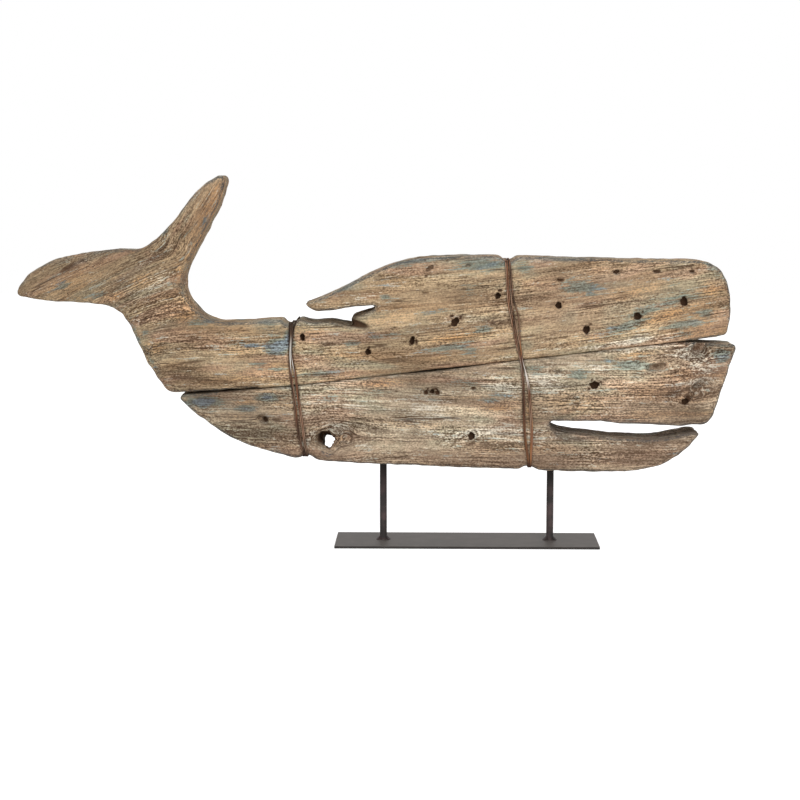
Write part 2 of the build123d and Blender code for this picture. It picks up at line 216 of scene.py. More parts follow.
LOWER_PITS = [
    (103.5, 134.0, 12.0, 5.5, -48, 7.0, 0.0), (122.0, 129.0, 24.0, 4.8, -3, 6.0, 0.0),
    (165.0, 128.0, 26.0, 3.4, 0, 4.0, 0.0), (-231.0, 146.3, 6.5, 3.6, -20, 2.6, 0.4),
    (-227.6, 145.6, 2.6, 3.4, 30, 3.5, 0.8), (-46.6, 176.6, 2.6, 2.3, 0, 3.0, 0.9),
    (-33.6, 176.4, 2.6, 2.4, 0, 3.0, 0.9), (-40.0, 181.0, 7.0, 1.5, 0, 1.5, 0.4),
    (6.5, 181.7, 2.8, 1.7, 0, 2.0, 0.8), (148.6, 188.4, 2.0, 1.3, 30, 2.0, 0.7),
    (135.8, 181.4, 2.0, 1.2, 30, 2.0, 0.7), (139.0, 191.2, 1.4, 1.8, 0, 1.6, 0.6),
    (101.2, 201.4, 3.6, 1.5, 0, 1.6, 0.5), (248.0, 171.5, 8.0, 3.0, 50, 3.0, 0.35),
    (258.0, 228.0, 7.5, 5.5, 40, 4.0, 0.5), (212.0, 206.6, 11.0, 3.6, 10, 3.5, 0.5),
    (259.0, 187.0, 11.0, 3.0, 30, 3.0, 0.35), (9.6, 132.0, 1.6, 1.4, 0, 1.6, 0.5),
]

# Places of the wires' notches in the edges: x and z
UPPER_NOTCHES = [(-195.6, 260.0), (45.5, 328.0)]
LOWER_NOTCHES = [(-180.0, 102.0), (67.5, 90.0)]

# Slow changes of tone over the boards: x, z, half length, half height, tilt, darkening
UPPER_SHADES = [
    (-430, 305, 80, 40, 15, 0.46), (-447, 316, 14, 4.5, 28, 0.85), (-392, 297, 28, 6, 27, 0.6),
    (-351, 269, 26, 9, 30, 0.5), (-400, 322, 40, 4, 24, 0.45), (-345, 330, 20, 5, 30, 0.5),
    (-330, 300, 60, 60, 45, 0.22), (-290, 370, 30, 60, -28, 0.25), (-60, 290, 110, 40, 10, 0.05),
    (130, 290, 90, 40, 5, 0.10), (-330, 220, 40, 40, 0, 0.3),
]
LOWER_SHADES = [
    (-250, 140, 70, 50, -24, 0.54), (0, 100, 240, 16, 0, 0.44), (250, 170, 40, 50, 0, 0.30),
    (200, 106, 80, 18, 6, 0.36), (-160, 116, 50, 16, 0, 0.25), (30, 190, 70, 8, 0, 0.14),
    (-138, 127, 15, 8, 4, 0.42), (256, 180, 10, 7, 40, 0.3), (256, 223, 9, 6, 50, 0.4),
]

# Smoother places, where the streaks are fainter
UPPER_CALM = [
    (-130, 285, 50, 12, 18, 0.9), (0, 312, 44, 11, 0, 0.8), (-50, 275, 60, 20, 6, 0.9),
    (115, 305, 50, 10, 0, 0.6), (252, 268, 26, 30, 0, 0.8), (-440, 295, 60, 18, 20, 0.8),
    (-372, 312, 34, 12, 20, 0.5), (-285, 385, 44, 15, 60, 1.2), (-290, 256, 28, 18, 0, 0.7),
    (150, 262, 40, 8, 8, 0.5), (-240, 245, 30, 8, 0, 0.5),
]
LOWER_CALM = [
    (0, 166, 74, 14, 0, 0.7), (-40, 104, 90, 10, -2, 0.7), (135, 208, 54, 12, 4, 0.7),
    (-110, 176, 50, 8, 3, 0.5), (190, 160, 40, 10, 0, 0.4),
]

# Rougher places, where the streaks stand apart more sharply
UPPER_ROUGH = [
    (-330, 272, 50, 26, 30, 1.0), (-290, 226, 70, 14, 0, 0.6), (-340, 330, 40, 12, 35, 0.6),
    (-250, 200, 60, 10, 3, 0.4),
]
LOWER_ROUGH = [
    (-130, 128, 50, 12, 0, 0.8), (255, 196, 26, 34, 0, 0.9), (-10, 124, 80, 10, 0, 0.5),
    (170, 112, 80, 12, 4, 0.5), (100, 180, 50, 16, 0, 0.4),
]

# Paler places
UPPER_PALE = [
    (-58, 290, 50, 40, 8, 0.6), (-110, 290, 40, 20, 20, 0.4), (-330, 280, 50, 44, 30, 0.45),
    (-248, 220, 50, 40, 0, 0.28), (250, 270, 40, 50, 0, 0.22),
]
LOWER_PALE = [
    (-110, 160, 70, 30, 0, 0.2), (10, 160, 50, 40, 0, 0.27), (252, 185, 36, 40, 0, 0.35),
    (200, 106, 80, 16, 6, 0.2),
]

# Rosier places
UPPER_ROSY = [(120, 280, 90, 40, 6, 0.5), (-285, 385, 40, 14, 60, 0.8), (-394, 284, 20, 6, 20, 1.0)]
LOWER_ROSY = [(0, 102, 240, 16, 0, 0.9), (200, 108, 80, 16, 6, 0.9), (210, 170, 80, 40, 0, 0.6)]

# Sawn walls that lie in the dark, under the fin and in the mouth, and get painted shade there
UPPER_WALL_SHADE = [(-155, 262, 34, 9, -6, 1.0), (-125, 263, 14, 7, 20, 1.0)]
LOWER_WALL_SHADE = [(180, 136, 130, 11, 0, 1.3)]

# The knot that has fallen out of the lower board: its places on the front and the back, the radius of
# its hole, how wide and high it is torn open, how much painted shade it gets, and the pit beside it: x, z,
# half length, half height and depth
KNOT = (-153.6, 123.4)
KNOT_BACK = (-152.4, 112.5)
KNOT_RADIUS = 7.0
KNOT_HALF_WIDTH = 8.4
KNOT_HALF_HEIGHT = 7.9
KNOT_DARKNESS = 1.7
KNOT_PIT = (-161.5, 124.0, 8.4, 8.6, 13.0)

# Knots that the lower board's grain flows round: x, z, radius and how many times longer than high
LOWER_SWIRLS = [
    (*KNOT, 10.0, 1.0), (-139, 126, 6.5, 1.6), (212, 207, 4.0, 2.4), (257, 226, 6.0, 1.3),
    (256, 177, 7.0, 1.3),
]

# Rounded tip of the fin: its place, how blunt it is, and two corners in metres of the box it lies in
FIN_TIP = (-181.5, 277.5)
FIN_TIP_HALF_HEIGHT = 4.0
FIN_TIP_BOX = ((-0.192, 0.262), (-0.170, 0.292))

# In metres: ends of the seam's straight line, and the place round which the grain turns into the flukes
SEAM_ENDS = ((-0.18906, 0.18457), (0.24002, 0.23452))
FLUKE_PIVOT = (-0.337, 0.326)
FLUKE_DEGREES = 57

# Rounds of smoothing of a board's even mesh, and of the notches within a reach
REMESH_ROUNDS = 2
NOTCH_ROUNDS = 12
NOTCH_REACH = 0.013
# Reach round the holes, the pits and some more places within which the mesh is finer
FINE_REACH = 0.0085
UPPER_FINE = [(-150, 260), (-118, 252)]
LOWER_FINE = [KNOT, KNOT_PIT[:2], (-161, 118), (-160, 130)]
# Walls within these reaches of a nail hole or of the seam aren't part of the outline
HOLE_REACH = 0.0075
SEAM_REACH = 0.0022

# The four strands of each binding wire on the front: z and the four x, in millimetres, from the top down
REAR_STRANDS = [
    (257, -199.1, -197.4, -195.9, -192.0), (249, -199.4, -197.8, -196.2, -194.6),
    (239, -199.7, -198.2, -196.7, -195.7), (230, -199.9, -198.6, -197.4, -196.8),
    (219, -199.9, -198.9, -197.3, -196.7), (209, -200.0, -198.6, -196.1, -195.1),
    (199, -199.4, -197.8, -194.2, -192.8), (188, -198.2, -196.5, -192.7, -191.4),
    (177, -196.5, -194.8, -191.5, -190.0), (165, -195.0, -193.2, -190.1, -188.5),
    (152, -193.7, -192.1, -188.3, -186.6), (139, -192.0, -190.4, -186.5, -185.0),
    (126, -190.1, -188.5, -184.7, -183.1), (116, -188.0, -186.5, -183.4, -181.8),
    (109, -184.9, -183.2, -181.7, -180.3),
]
FRONT_STRANDS = [
    (320, 41.7, 43.3, 45.4, 47.0), (301, 42.9, 44.6, 46.9, 48.5), (280, 44.2, 46.0, 48.2, 50.6),
    (267, 46.4, 48.3, 50.4, 55.3), (255, 49.1, 51.2, 53.4, 57.7), (238, 52.6, 54.5, 56.5, 57.8),
    (226, 55.4, 56.9, 58.9, 59.2), (212, 59.3, 60.5, 62.0, 61.3), (195, 61.1, 62.5, 65.4, 66.5),
    (185, 61.7, 63.2, 67.5, 69.0), (163, 62.2, 63.8, 69.2, 71.0), (149, 62.7, 64.2, 70.6, 72.2),
    (131, 63.6, 65.1, 71.4, 73.0), (118, 65.3, 66.6, 71.6, 72.9), (105, 67.5, 68.6, 71.1, 72.0),
    (97, 68.5, 69.3, 70.7, 71.5),
]
# How far the fourth strand stands aside and above the others where it comes over the top edge
REAR_CREST = (3.4, 8.6)
FRONT_CREST = (-1.6, 1.4)
# How bright each strand is at its top and at its bottom
REAR_TONES = ((0.1, 0.5), (1.0, 0.3), (0.9, 0.8), (0.1, 1.0))
FRONT_TONES = ((1.2, 0.0), (0.5, 0.2), (0.9, 1.0), (0.4, 1.0))
# How orange each wire's rust is at its bottom and at its top
REAR_ORANGE = (0.30, 0.10)
FRONT_ORANGE = (0.72, 0.44)
# How orange both are in the middle, and the heights of the change below it and of that above it
MIDDLE_ORANGE = 0.44
ORANGE_RISES = ((0.11, 0.16), (0.20, 0.24))
# How far each turn bows aside at the back
STRAND_BOWS = (0.0012, -0.0009, 0.0016, -0.0014)
POINTS_PER_TWIST = 8

# What the two lights look at
LIGHT_AIM = (-0.05, 0, 0.2)


class Graph:
    """A node tree that is built up one node at a time"""

    def __init__(self, tree):
        self.tree = tree

    def fill(self, node, inputs):
        """Sets a node's inputs to values, or links them to other nodes' outputs"""
        for name, value in inputs.items():
            if isinstance(value, bpy.types.NodeSocket):
                self.tree.links.new(value, node.inputs[name])
            else:
                node.inputs[name].default_value = value

    def add(self, kind, inputs=None, output=0, **settings):
        node = self.tree.nodes.new(kind)
        for name, value in settings.items():
            setattr(node, name, value)
        self.fill(node, inputs or {})
        return node.outputs[output]

    def group(self, name, inputs):
        """All outputs of a node group"""
        node = self.tree.nodes.new("ShaderNodeGroup")
        node.node_tree = bpy.data.node_groups[name]
        self.fill(node, inputs)
        return node.outputs

    def calculate(self, operation, first, second=0.0, clamp=False):
        inputs = {0: first, 1: second}
        return self.add("ShaderNodeMath", inputs, operation=operation, use_clamp=clamp)

    def plus(self, first, second, clamp=False):
        return self.calculate("ADD", first, second, clamp)

    def minus(self, first, second):
        return self.calculate("SUBTRACT", first, second)

    def times(self, first, second, clamp=False):
        return self.calculate("MULTIPLY", first, second, clamp)

    def weighted(self, *terms):
        """Sum of values, each times its weight"""
        total = self.times(*terms[0])
        for value, weight in terms[1:]:
            total = self.plus(total, self.times(value, weight))
        return total

    def channels(self, attribute):
        """The three channels of a colour attribute"""
        colour = self.add("ShaderNodeAttribute", output="Color", attribute_name=attribute)
        return self.add("ShaderNodeSeparateColor", {0: colour}).node.outputs[:3]

    def place_and_height(self):
        """Object coordinates, and the height among them"""
        place = self.add("ShaderNodeTexCoord", output="Object")
        return place, self.add("ShaderNodeSeparateXYZ", {0: place}, output=2)

    def stretch(self, vector, scale):
        inputs = {"Vector": vector, "Scale": scale}
        return self.add("ShaderNodeMapping", inputs)

    def noise(self, vector, scale, detail, roughness, distortion):
        inputs = {
            "Vector": self.stretch(vector, scale), "Scale": 1.0, "Detail": detail,
            "Roughness": roughness, "Distortion": distortion,
        }
        return self.add("ShaderNodeTexNoise", inputs)

    def between(self, value, low, high):
        """0 below low, 1 above high and smooth in between"""
        inputs = {"Value": value, "From Min": low, "From Max": high}
        return self.add("ShaderNodeMapRange", inputs, interpolation_type="SMOOTHSTEP")

    def blend(self, factor, first, second, mode="MIX"):
        inputs = {0: factor, 6: first, 7: second}
        return self.add("ShaderNodeMix", inputs, output=2, data_type="RGBA", blend_type=mode)

    def ramp(self, value, stops):
        node = self.tree.nodes.new("ShaderNodeValToRGB")
        self.tree.links.new(value, node.inputs[0])
        elements = node.color_ramp.elements
        for index, (position, colour) in enumerate(stops):
            element = elements[index] if index < 2 else elements.new(position)
            element.position = position
            element.color = colour
        return node.outputs[0]

    def for_camera(self, seen, otherwise):
        """One value for rays from the camera and another for the rest"""
        ray = self.add("ShaderNodeLightPath", output="Is Camera Ray")
        return self.add("ShaderNodeMapRange", {"Value": ray, "To Min": otherwise, "To Max": seen})

    def surface(self, inputs):
        """Ends a material in a Principled shader"""
        shader = self.add("ShaderNodeBsdfPrincipled", inputs)
        end = self.tree.nodes.new("ShaderNodeOutputMaterial")
        self.tree.links.new(shader, end.inputs[0])


def new_material(name):
    """Material without nodes, and the graph to fill it"""
    material = bpy.data.materials.new(name)
    material.use_nodes = True
    material.node_tree.nodes.clear()
    return material, Graph(material.node_tree)


def new_group(name, inputs, outputs):
    """Graph of an empty shader node group, its input sockets and its last node"""
    group = bpy.data.node_groups.new(name, "ShaderNodeTree")
    for socket, kind, value in inputs:
        made = group.interface.new_socket(socket, in_out="INPUT", socket_type="NodeSocket" + kind)
        if value is not None:
            made.default_value = value
    for socket, kind in outputs:
        group.interface.new_socket(socket, in_out="OUTPUT", socket_type="NodeSocket" + kind)
    start = group.nodes.new("NodeGroupInput")
    return Graph(group), start.outputs, group.nodes.new("NodeGroupOutput")


def grain_group():
    """Streaks, dark lines and slow bands of old wood, along the first axis of its coordinates"""
    name = "Old grain"
    if name in bpy.data.node_groups:
        return name
    graph, start, end = new_group(
        name,
        [("Grain", "Vector", None), ("Brushing", "Float", 0.5), ("Crispness", "Float", 3.0)],
        [("Streaks", "Float"), ("Lines", "Float"), ("Bands", "Float"), ("Relief", "Float")],
    )
    grain = start["Grain"]
    flecks = graph.noise(grain, (80, 680, 680), 3.0, 0.65, 0.0)
    grit = graph.noise(grain, (420, 640, 640), 2.0, 0.6, 0.0)
    fibres = graph.noise(grain, (14, 520, 520), 4.0, 0.65, 0.05)
    short = graph.weighted((flecks, 0.58), (grit, 0.42))
    long = graph.weighted((grit, 0.3), (fibres, 0.7))
    mixed = graph.add("ShaderNodeMix", {0: start["Brushing"], 2: long, 3: short}, data_type="FLOAT")
    apart = graph.times(graph.minus(mixed, 0.5), start["Crispness"])
    streaks = graph.plus(apart, 0.5, clamp=True)
    contours = graph.noise(grain, (4, 130, 130), 2.0, 0.5, 0.15)
    distance = graph.calculate("ABSOLUTE", graph.minus(contours, 0.5))
    breaks = graph.noise(grain, (20, 60, 60), 2.0, 0.5, 0.0)
    lines = graph.times(graph.between(distance, 0.020, 0.004), graph.between(breaks, 0.45, 0.62))
    bands = graph.noise(grain, (4.5, 76, 76), 4.0, 0.6, 0.25)
    relief = graph.weighted((streaks, 0.6), (bands, 0.3), (lines, -0.7))
    graph.fill(end, {"Streaks": streaks, "Lines": lines, "Bands": bands, "Relief": relief})
    return name


def remnant_group():
    """Where a thin old coat still clings: its mask, broken up along the fibres"""
    name = "Coat remnants"
    if name in bpy.data.node_groups:
        return name
    graph, start, end = new_group(
        name,
        [
            ("Grain", "Vector", None), ("Mask", "Float", 0.0), ("Streaks", "Float", 0.5),
            ("Raggedness", "Float", 1.0),
        ],
        [("Amount", "Float")],
    )
    wide = graph.noise(start["Grain"], (16, 80, 80), 3.0, 0.6, 0.8)
    chips = graph.noise(start["Grain"], (30, 260, 260), 4.0, 0.7, 0.2)
    broken = graph.weighted((wide, 1.3), (chips, 2.4), (start["Streaks"], 0.6))
    broken = graph.times(graph.minus(broken, 2.15), start["Raggedness"])
    level = graph.plus(start["Mask"], broken)
    graph.fill(end, {"Amount": graph.between(level, 0.38, 0.78)})
    return name


def streak_light(graph, grain, streaks, calm, wood):
    """How light or dark the fine streaks are, fainter where the wood is smooth"""
    light = graph.ramp(streaks, [
        (0.0, (0.20, 0.16, 0.13, 1)), (0.28, (0.52, 0.48, 0.44, 1)), (0.5, (0.97, 0.96, 0.95, 1)),
        (0.75, (1.38, 1.39, 1.36, 1)), (1.0, (1.75, 1.78, 1.76, 1)),
    ])
    speckle = graph.noise(grain, (400, 460, 460), 2.0, 0.65, 0.0)
    even = graph.ramp(speckle, [
        (0.36, (0.84, 0.83, 0.82, 1)), (0.5, (1.14, 1.14, 1.13, 1)), (0.64, (1.38, 1.39, 1.37, 1)),
    ])
    roughened = graph.between(graph.noise(grain, (9, 38, 38), 2.0, 0.5, 0.0), 0.38, 0.56)
    roughened = graph.plus(graph.times(roughened, wood.unevenness), 1.0 - wood.unevenness)
    roughened = graph.times(roughened, graph.minus(1.0, graph.times(calm, 0.5)))
    return graph.blend(graph.times(roughened, wood.contrast), even, light)


def wood_material(name, wood, crispness, patchiness, wall_shade_colour, base_colour, light_colour, shade_colour):
    """Old board: grain colours, greyed and golden zones, remnants of blue paint and whitewash, painted
    highlights along the seam, painted shade in the holes, the recesses and under the wires, and relief
    """
    material, graph = new_material(name)
    grain = graph.add("ShaderNodeAttribute", output="Vector", attribute_name="grain")
    blueness, warmth, whiteness = graph.channels("marks")
    gloom, edge, depth = graph.channels("zones")
    upward, darkening, rough = graph.channels("weather")
    wall, calm, shadow = graph.channels("places")
    rosiness, paleness = graph.channels("tints")[:2]
    crisp = graph.plus(graph.times(rough, 3.5), crispness)
    pattern = graph.group(grain_group(), {"Grain": grain, "Brushing": wood.brushing, "Crispness": crisp})
    streaks, bands = pattern["Streaks"], pattern["Bands"]
    crevice_and_shadow = solid(wood.crevice_and_shadow_colour)

    tone = graph.ramp(bands, [
        (0.30, solid(shade_colour)), (0.5, solid(base_colour)), (0.70, solid(light_colour)),
    ])
    grey = graph.noise(grain, (9, 34, 34), 3.0, 0.6, 0.6)
    greyed = graph.times(graph.between(grey, 0.48, 0.64), wood.greying)
    tone = graph.blend(greyed, tone, solid(wood.grey_colour))
    rosy = graph.noise(grain, (10, 44, 44), 2.0, 0.5, 0.3)
    blushed = graph.times(graph.between(rosy, 0.50, 0.64), graph.between(calm, 1.1, 0.0))
    blushed = graph.times(graph.calculate("MAXIMUM", blushed, rosiness), 0.6)
    tone = graph.blend(blushed, tone, solid(wood.rosy_colour))
    golden = graph.noise(grain, (7, 42, 42), 3.0, 0.55, 0.4)
    warm = graph.calculate("MAXIMUM", graph.times(graph.between(golden, 0.52, 0.72), 0.5), warmth)
    warm = graph.times(warm, graph.between(streaks, 0.15, 0.7), clamp=True)
    tone = graph.blend(graph.times(warm, wood.gilding), tone, solid(wood.golden_colour))

    # Whitewash remnants, and the painted highlights along the seam
    wash_and_highlight = graph.group(remnant_group(), {
        "Grain": grain, "Mask": graph.times(whiteness, 0.7), "Streaks": streaks, "Raggedness": 1.3,
    })
    tone = graph.blend(graph.times(wash_and_highlight["Amount"], 0.7), tone, solid(wood.whitewash_and_highlight_colour))
    coat = graph.group(remnant_group(), {
        "Grain": grain, "Mask": blueness, "Streaks": streaks, "Raggedness": 1.1,
    })
    hue = graph.noise(grain, (16, 60, 60), 3.0, 0.6, 0.0)
    faded = graph.times(graph.between(hue, 0.30, 0.48), graph.between(blueness, 1.7, 1.1))
    blue = graph.blend(faded, solid(wood.blue_colour), solid(wood.teal_colour))
    tone = graph.blend(graph.times(coat["Amount"], 0.76), tone, blue)

    bleached = graph.times(upward, graph.between(grey, 0.40, 0.62))
    tone = graph.blend(graph.times(bleached, 0.6), tone, solid(wood.bleached_colour))
    light = streak_light(graph, grain, streaks, calm, wood)
    tone = graph.blend(1.0, tone, light, "MULTIPLY")
    slow = graph.ramp(graph.noise(grain, (8, 32, 32), 3.0, 0.5, 0.4), [
        (0.34, (0.60, 0.58, 0.56, 1)), (0.5, (1, 1, 1, 1)), (0.66, (1.32, 1.33, 1.31, 1)),
    ])
    tone = graph.blend(patchiness, tone, graph.blend(1.0, tone, slow, "MULTIPLY"))
    tone = graph.blend(paleness, tone, graph.blend(1.0, tone, (1.30, 1.29, 1.27, 1), "MULTIPLY"))

    tone = graph.blend(graph.times(pattern["Lines"], 0.8), tone, crevice_and_shadow)
    smear = graph.times(gloom, graph.between(bands, 0.62, 0.36), clamp=True)
    smear = graph.times(smear, graph.between(streaks, 0.85, 0.35))
    tone = graph.blend(graph.times(smear, 0.8), tone, crevice_and_shadow)
    tone = graph.blend(graph.times(darkening, 0.9), tone, crevice_and_shadow)
    rim = graph.times(graph.between(edge, 0.2, 0.8), wood.edge_grime)
    rim = graph.times(rim, graph.between(streaks, 0.9, 0.3))
    tone = graph.blend(rim, tone, solid(wood.edge_colour))
    # Painted shadow of the wires on the front face, in the crevice colour
    tone = graph.blend(graph.times(shadow, 0.4), tone, crevice_and_shadow)
    # Painted shade on the walls under the fin and in the mouth
    tone = graph.blend(graph.times(wall, 0.9), tone, solid(wall_shade_colour))
    # Painted shade deep in the holes, pits and hollows, near black in the knot's pit
    tone = graph.blend(graph.between(depth, 0.05, 0.9), tone, solid(wood.hole_shade_colour))
    tone = graph.blend(graph.between(depth, 1.0, 1.6), tone, solid(wood.knot_shade_colour))

    bump = graph.add("ShaderNodeBump", {
        "Height": pattern["Relief"], "Strength": wood.relief_strength, "Distance": wood.relief_depth,
    })
    graph.surface({"Base Color": tone, "Normal": bump, "Roughness": 0.86, "Specular IOR Level": 0.25})
    return material


def rust_group():
    """Rust on iron: how much of it, and its colour from dark red-brown to orange"""
    name = "Rust"
    if name in bpy.data.node_groups:
        return name
    graph, start, end = new_group(
        name,
        [("Place", "Vector", None), ("Cover", "Float", 0.5), ("Orange", "Float", 0.3)],
        [("Amount", "Float"), ("Colour", "Color"), ("Relief", "Float")],
    )
    cloud = graph.noise(start["Place"], (38, 38, 38), 4.0, 0.6, 0.4)
    fine = graph.noise(start["Place"], (700, 700, 700), 3.0, 0.65, 0.0)
    level = graph.plus(graph.weighted((cloud, 0.7), (fine, 0.3)), graph.minus(start["Cover"], 0.5))
    warmer = graph.plus(graph.times(graph.minus(cloud, 0.5), 1.7), start["Orange"])
    warmer = graph.plus(warmer, graph.times(graph.minus(fine, 0.5), 0.6))
    colour = graph.ramp(warmer, [
        (0.2, paint(66, 50, 40)), (0.40, paint(112, 82, 62)), (0.56, paint(146, 100, 78)),
        (0.78, paint(176, 118, 70)),
    ])
    graph.fill(end, {"Amount": graph.between(level, 0.42, 0.58), "Colour": colour, "Relief": fine})
    return name


def wire_material(name, wire, bare, low_orange, high_orange):
    """Iron wire: rust, painted shade on the strands' flanks and a painted highlight along their crowns,
    darker at the bottom loops, and a painted bright highlight on the stretch rubbed bare half way up
    """
    material, graph = new_material(name)
    place, height = graph.place_and_height()
    crown, below, tone = graph.channels("wear")
    bare_low, bare_high = bare
    low = graph.between(height, bare_low - wire.bare_fade, bare_low + wire.bare_fade)
    high = graph.between(height, bare_high + wire.bare_fade, bare_high - wire.bare_fade)
    rubbed = graph.times(low, high)
    orange = low_orange
    for (bottom, top), above in zip(ORANGE_RISES, (MIDDLE_ORANGE, high_orange)):
        orange = graph.add("ShaderNodeMapRange", {
            "Value": height, "From Min": bottom, "From Max": top, "To Min": orange, "To Max": above,
        })
    along = graph.stretch(place, (11, 5, 0.7))
    rust = graph.group(rust_group(), {"Place": along, "Cover": 0.66, "Orange": orange})
    tint = graph.blend(rust["Amount"], solid(wire.iron_colour), rust["Colour"])
    strand = graph.noise(place, (260, 120, 18), 2.0, 0.5, 0.0)
    # Painted highlight along the strands' crowns, in the worn colour
    worn = graph.times(graph.between(strand, 0.40, 0.64), graph.plus(tone, 0.3))
    worn = graph.times(graph.between(crown, 0.7, 0.96), graph.times(worn, 0.6))
    tint = graph.blend(worn, tint, solid(wire.worn_colour))
    # Painted bright highlight on the crowns of the stretch rubbed bare
    bare_highlight = graph.times(graph.between(crown, 0.5, 0.86), rubbed)
    bare_highlight = graph.times(bare_highlight, graph.between(tone, 0.45, 0.85))
    tint = graph.blend(bare_highlight, tint, solid(wire.bare_highlight_colour))
    # Painted shade on the strands' flanks, darkest where they meet
    shade = graph.ramp(crown, [
        (0.0, (0.1, 0.09, 0.08, 1)), (0.6, (0.42, 0.39, 0.37, 1)), (0.95, (1, 1, 1, 1)),
    ])
    tint = graph.blend(1.0, tint, shade, "MULTIPLY")
    dull = graph.times(graph.between(tone, 0.8, 0.0), 0.5)
    tint = graph.blend(dull, tint, (0.012, 0.007, 0.005, 1))
    # Darker towards the loops under the belly
    tint = graph.blend(graph.times(below, 0.8), tint, solid(wire.low_loop_colour))
    bright = graph.times(bare_highlight, 0.1)
    rough = graph.add("ShaderNodeMapRange", {"Value": bright, "To Min": 0.8, "To Max": 0.3})
    bump = graph.add("ShaderNodeBump", {"Height": rust["Relief"], "Strength": 0.4, "Distance": 0.0003})
    graph.surface({
        "Base Color": tint, "Metallic": bright, "Specular IOR Level": 0.2, "Roughness": rough,
        "Normal": bump,
    })
    return material


def dowel_material(name, wood):
    """Plain beech of the hidden dowels, its grain upright"""
    material, graph = new_material(name)
    place = graph.add("ShaderNodeTexCoord", output="Object")
    upright = graph.add("ShaderNodeMapping", {"Vector": place, "Rotation": (0, math.radians(90), 0)})
    pattern = graph.group(grain_group(), {"Grain": upright, "Brushing": 0.2})
    tint = graph.blend(pattern["Bands"], solid(wood.light_colour), solid(wood.base_colour))
    tint = graph.blend(graph.between(pattern["Streaks"], 0.4, 0.1), tint, solid(wood.shade_colour))
    bump = graph.add("ShaderNodeBump", {"Height": pattern["Relief"], "Strength": 0.3, "Distance": 0.0005})
    graph.surface({"Base Color": tint, "Normal": bump, "Roughness": 0.7})
    return material


def steel_material(name, colour, worn_colour, metallic, specular, rust_cover, shade_heights, steel_shade_colour):
    """Blackened steel: slow clouds, faint rust and fine scratches, with painted shade past a pair of heights
    """
    material, graph = new_material(name)
    place, height = graph.place_and_height()
    cloud = graph.noise(place, (45, 60, 60), 4.0, 0.6, 0.3)
    scratches = graph.noise(place, (60, 900, 900), 3.0, 0.65, 0.0)
    tint = graph.blend(graph.between(cloud, 0.38, 0.66), solid(colour), solid(worn_colour))
    rust = graph.group(rust_group(), {"Place": place, "Cover": rust_cover, "Orange": 0.2})
    tint = graph.blend(graph.times(rust["Amount"], 0.5), tint, rust["Colour"])
    # Painted shade past a pair of heights: the plate's edge below its top, the rods under the belly
    tint = graph.blend(graph.times(graph.between(height, *shade_heights), 0.75), tint, steel_shade_colour)
    rough = graph.add("ShaderNodeMapRange", {"Value": cloud, "To Min": 0.42, "To Max": 0.6})
    bump = graph.add("ShaderNodeBump", {"Height": scratches, "Strength": 0.15, "Distance": 0.0003})
    graph.surface({
        "Base Color": tint, "Roughness": rough, "Normal": bump, "Metallic": metallic,
        "Specular IOR Level": specular,
    })
    return material


def read_vectors(source, name):
    vectors = np.empty(len(source) * 3, np.float32)
    source.foreach_get(name, vectors)
    return vectors.reshape(-1, 3).astype(np.float64)


def read_points(mesh):
    return read_vectors(mesh.vertices, "co")


def read_normals(mesh):
    return read_vectors(mesh.vertex_normals, "vector")


def write_points(mesh, points):
    mesh.vertices.foreach_set("co", points.astype(np.float32).ravel())
    mesh.update()


def add_vectors(mesh, name, values):
    attribute = mesh.attributes.new(name, "FLOAT_VECTOR", "POINT")
    attribute.data.foreach_set("vector", values.astype(np.float32).ravel())


def add_colours(mesh, name, red, green, blue):
    attribute = mesh.attributes.new(name, "FLOAT_COLOR", "POINT")
    values = np.stack([red, green, blue, np.ones(len(red))], axis=1)
    attribute.data.foreach_set("color", np.clip(values, 0, 4).astype(np.float32).ravel())


def add_object(name, data):
    made = bpy.data.objects.new(name, data)
    bpy.context.scene.collection.objects.link(made)
    return made


def add_smooth_piece(name, mesh):
    for face in mesh.polygons:
        face.use_smooth = True
    return add_object(name, mesh)


def finished_mesh(rough):
    """Mesh of an object with its modifiers or bevel, in place of the object"""
    bpy.context.view_layer.update()
    evaluated = rough.evaluated_get(bpy.context.evaluated_depsgraph_get())
    mesh = bpy.data.meshes.new_from_object(evaluated)
    bpy.data.objects.remove(rough)
    return mesh


def give_material(mesh, material):
    mesh.materials.clear()
    mesh.materials.append(material)


def finish_node(node_name, material):
    """Gives a piece that keeps its solid's shape its material"""
    give_material(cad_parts[node_name].data, material)


def smooth_step(value, low, high):
    share = np.clip((value - low) / (high - low), 0, 1)
    return share * share * (3 - 2 * share)


def waves(points, size, seed):
    """Smooth noise from about -1 to 1, with waves of a size along each axis"""
    shift = np.array([seed * 17.3, seed * 5.1, seed * 9.7])
    scaled = points / np.array(size) + shift
    return np.array([noise.noise(Vector(place)) for place in scaled])


def from_place(points, x, z):
    """How far points lie from a place of the side view, along and up"""
    return points[:, 0] - x * MM, points[:, 2] - z * MM


def distance_to(points, places):
    """Distance in the side view to the nearest of some places, of 1 m at most"""
    nearest = np.full(len(points), 1.0)
    for x, z in places:
        nearest = np.minimum(nearest, np.hypot(*from_place(points, x, z)))
    return nearest


def in_oval(along, up, half_length, half_height, tilt):
    """Shares of a tilted oval's half length and half height at which points lie"""
    turn = math.radians(tilt)
    lengthwise = (along * math.cos(turn) + up * math.sin(turn)) / (half_length * MM)
    crosswise = (up * math.cos(turn) - along * math.sin(turn)) / (half_height * MM)
    return lengthwise, crosswise


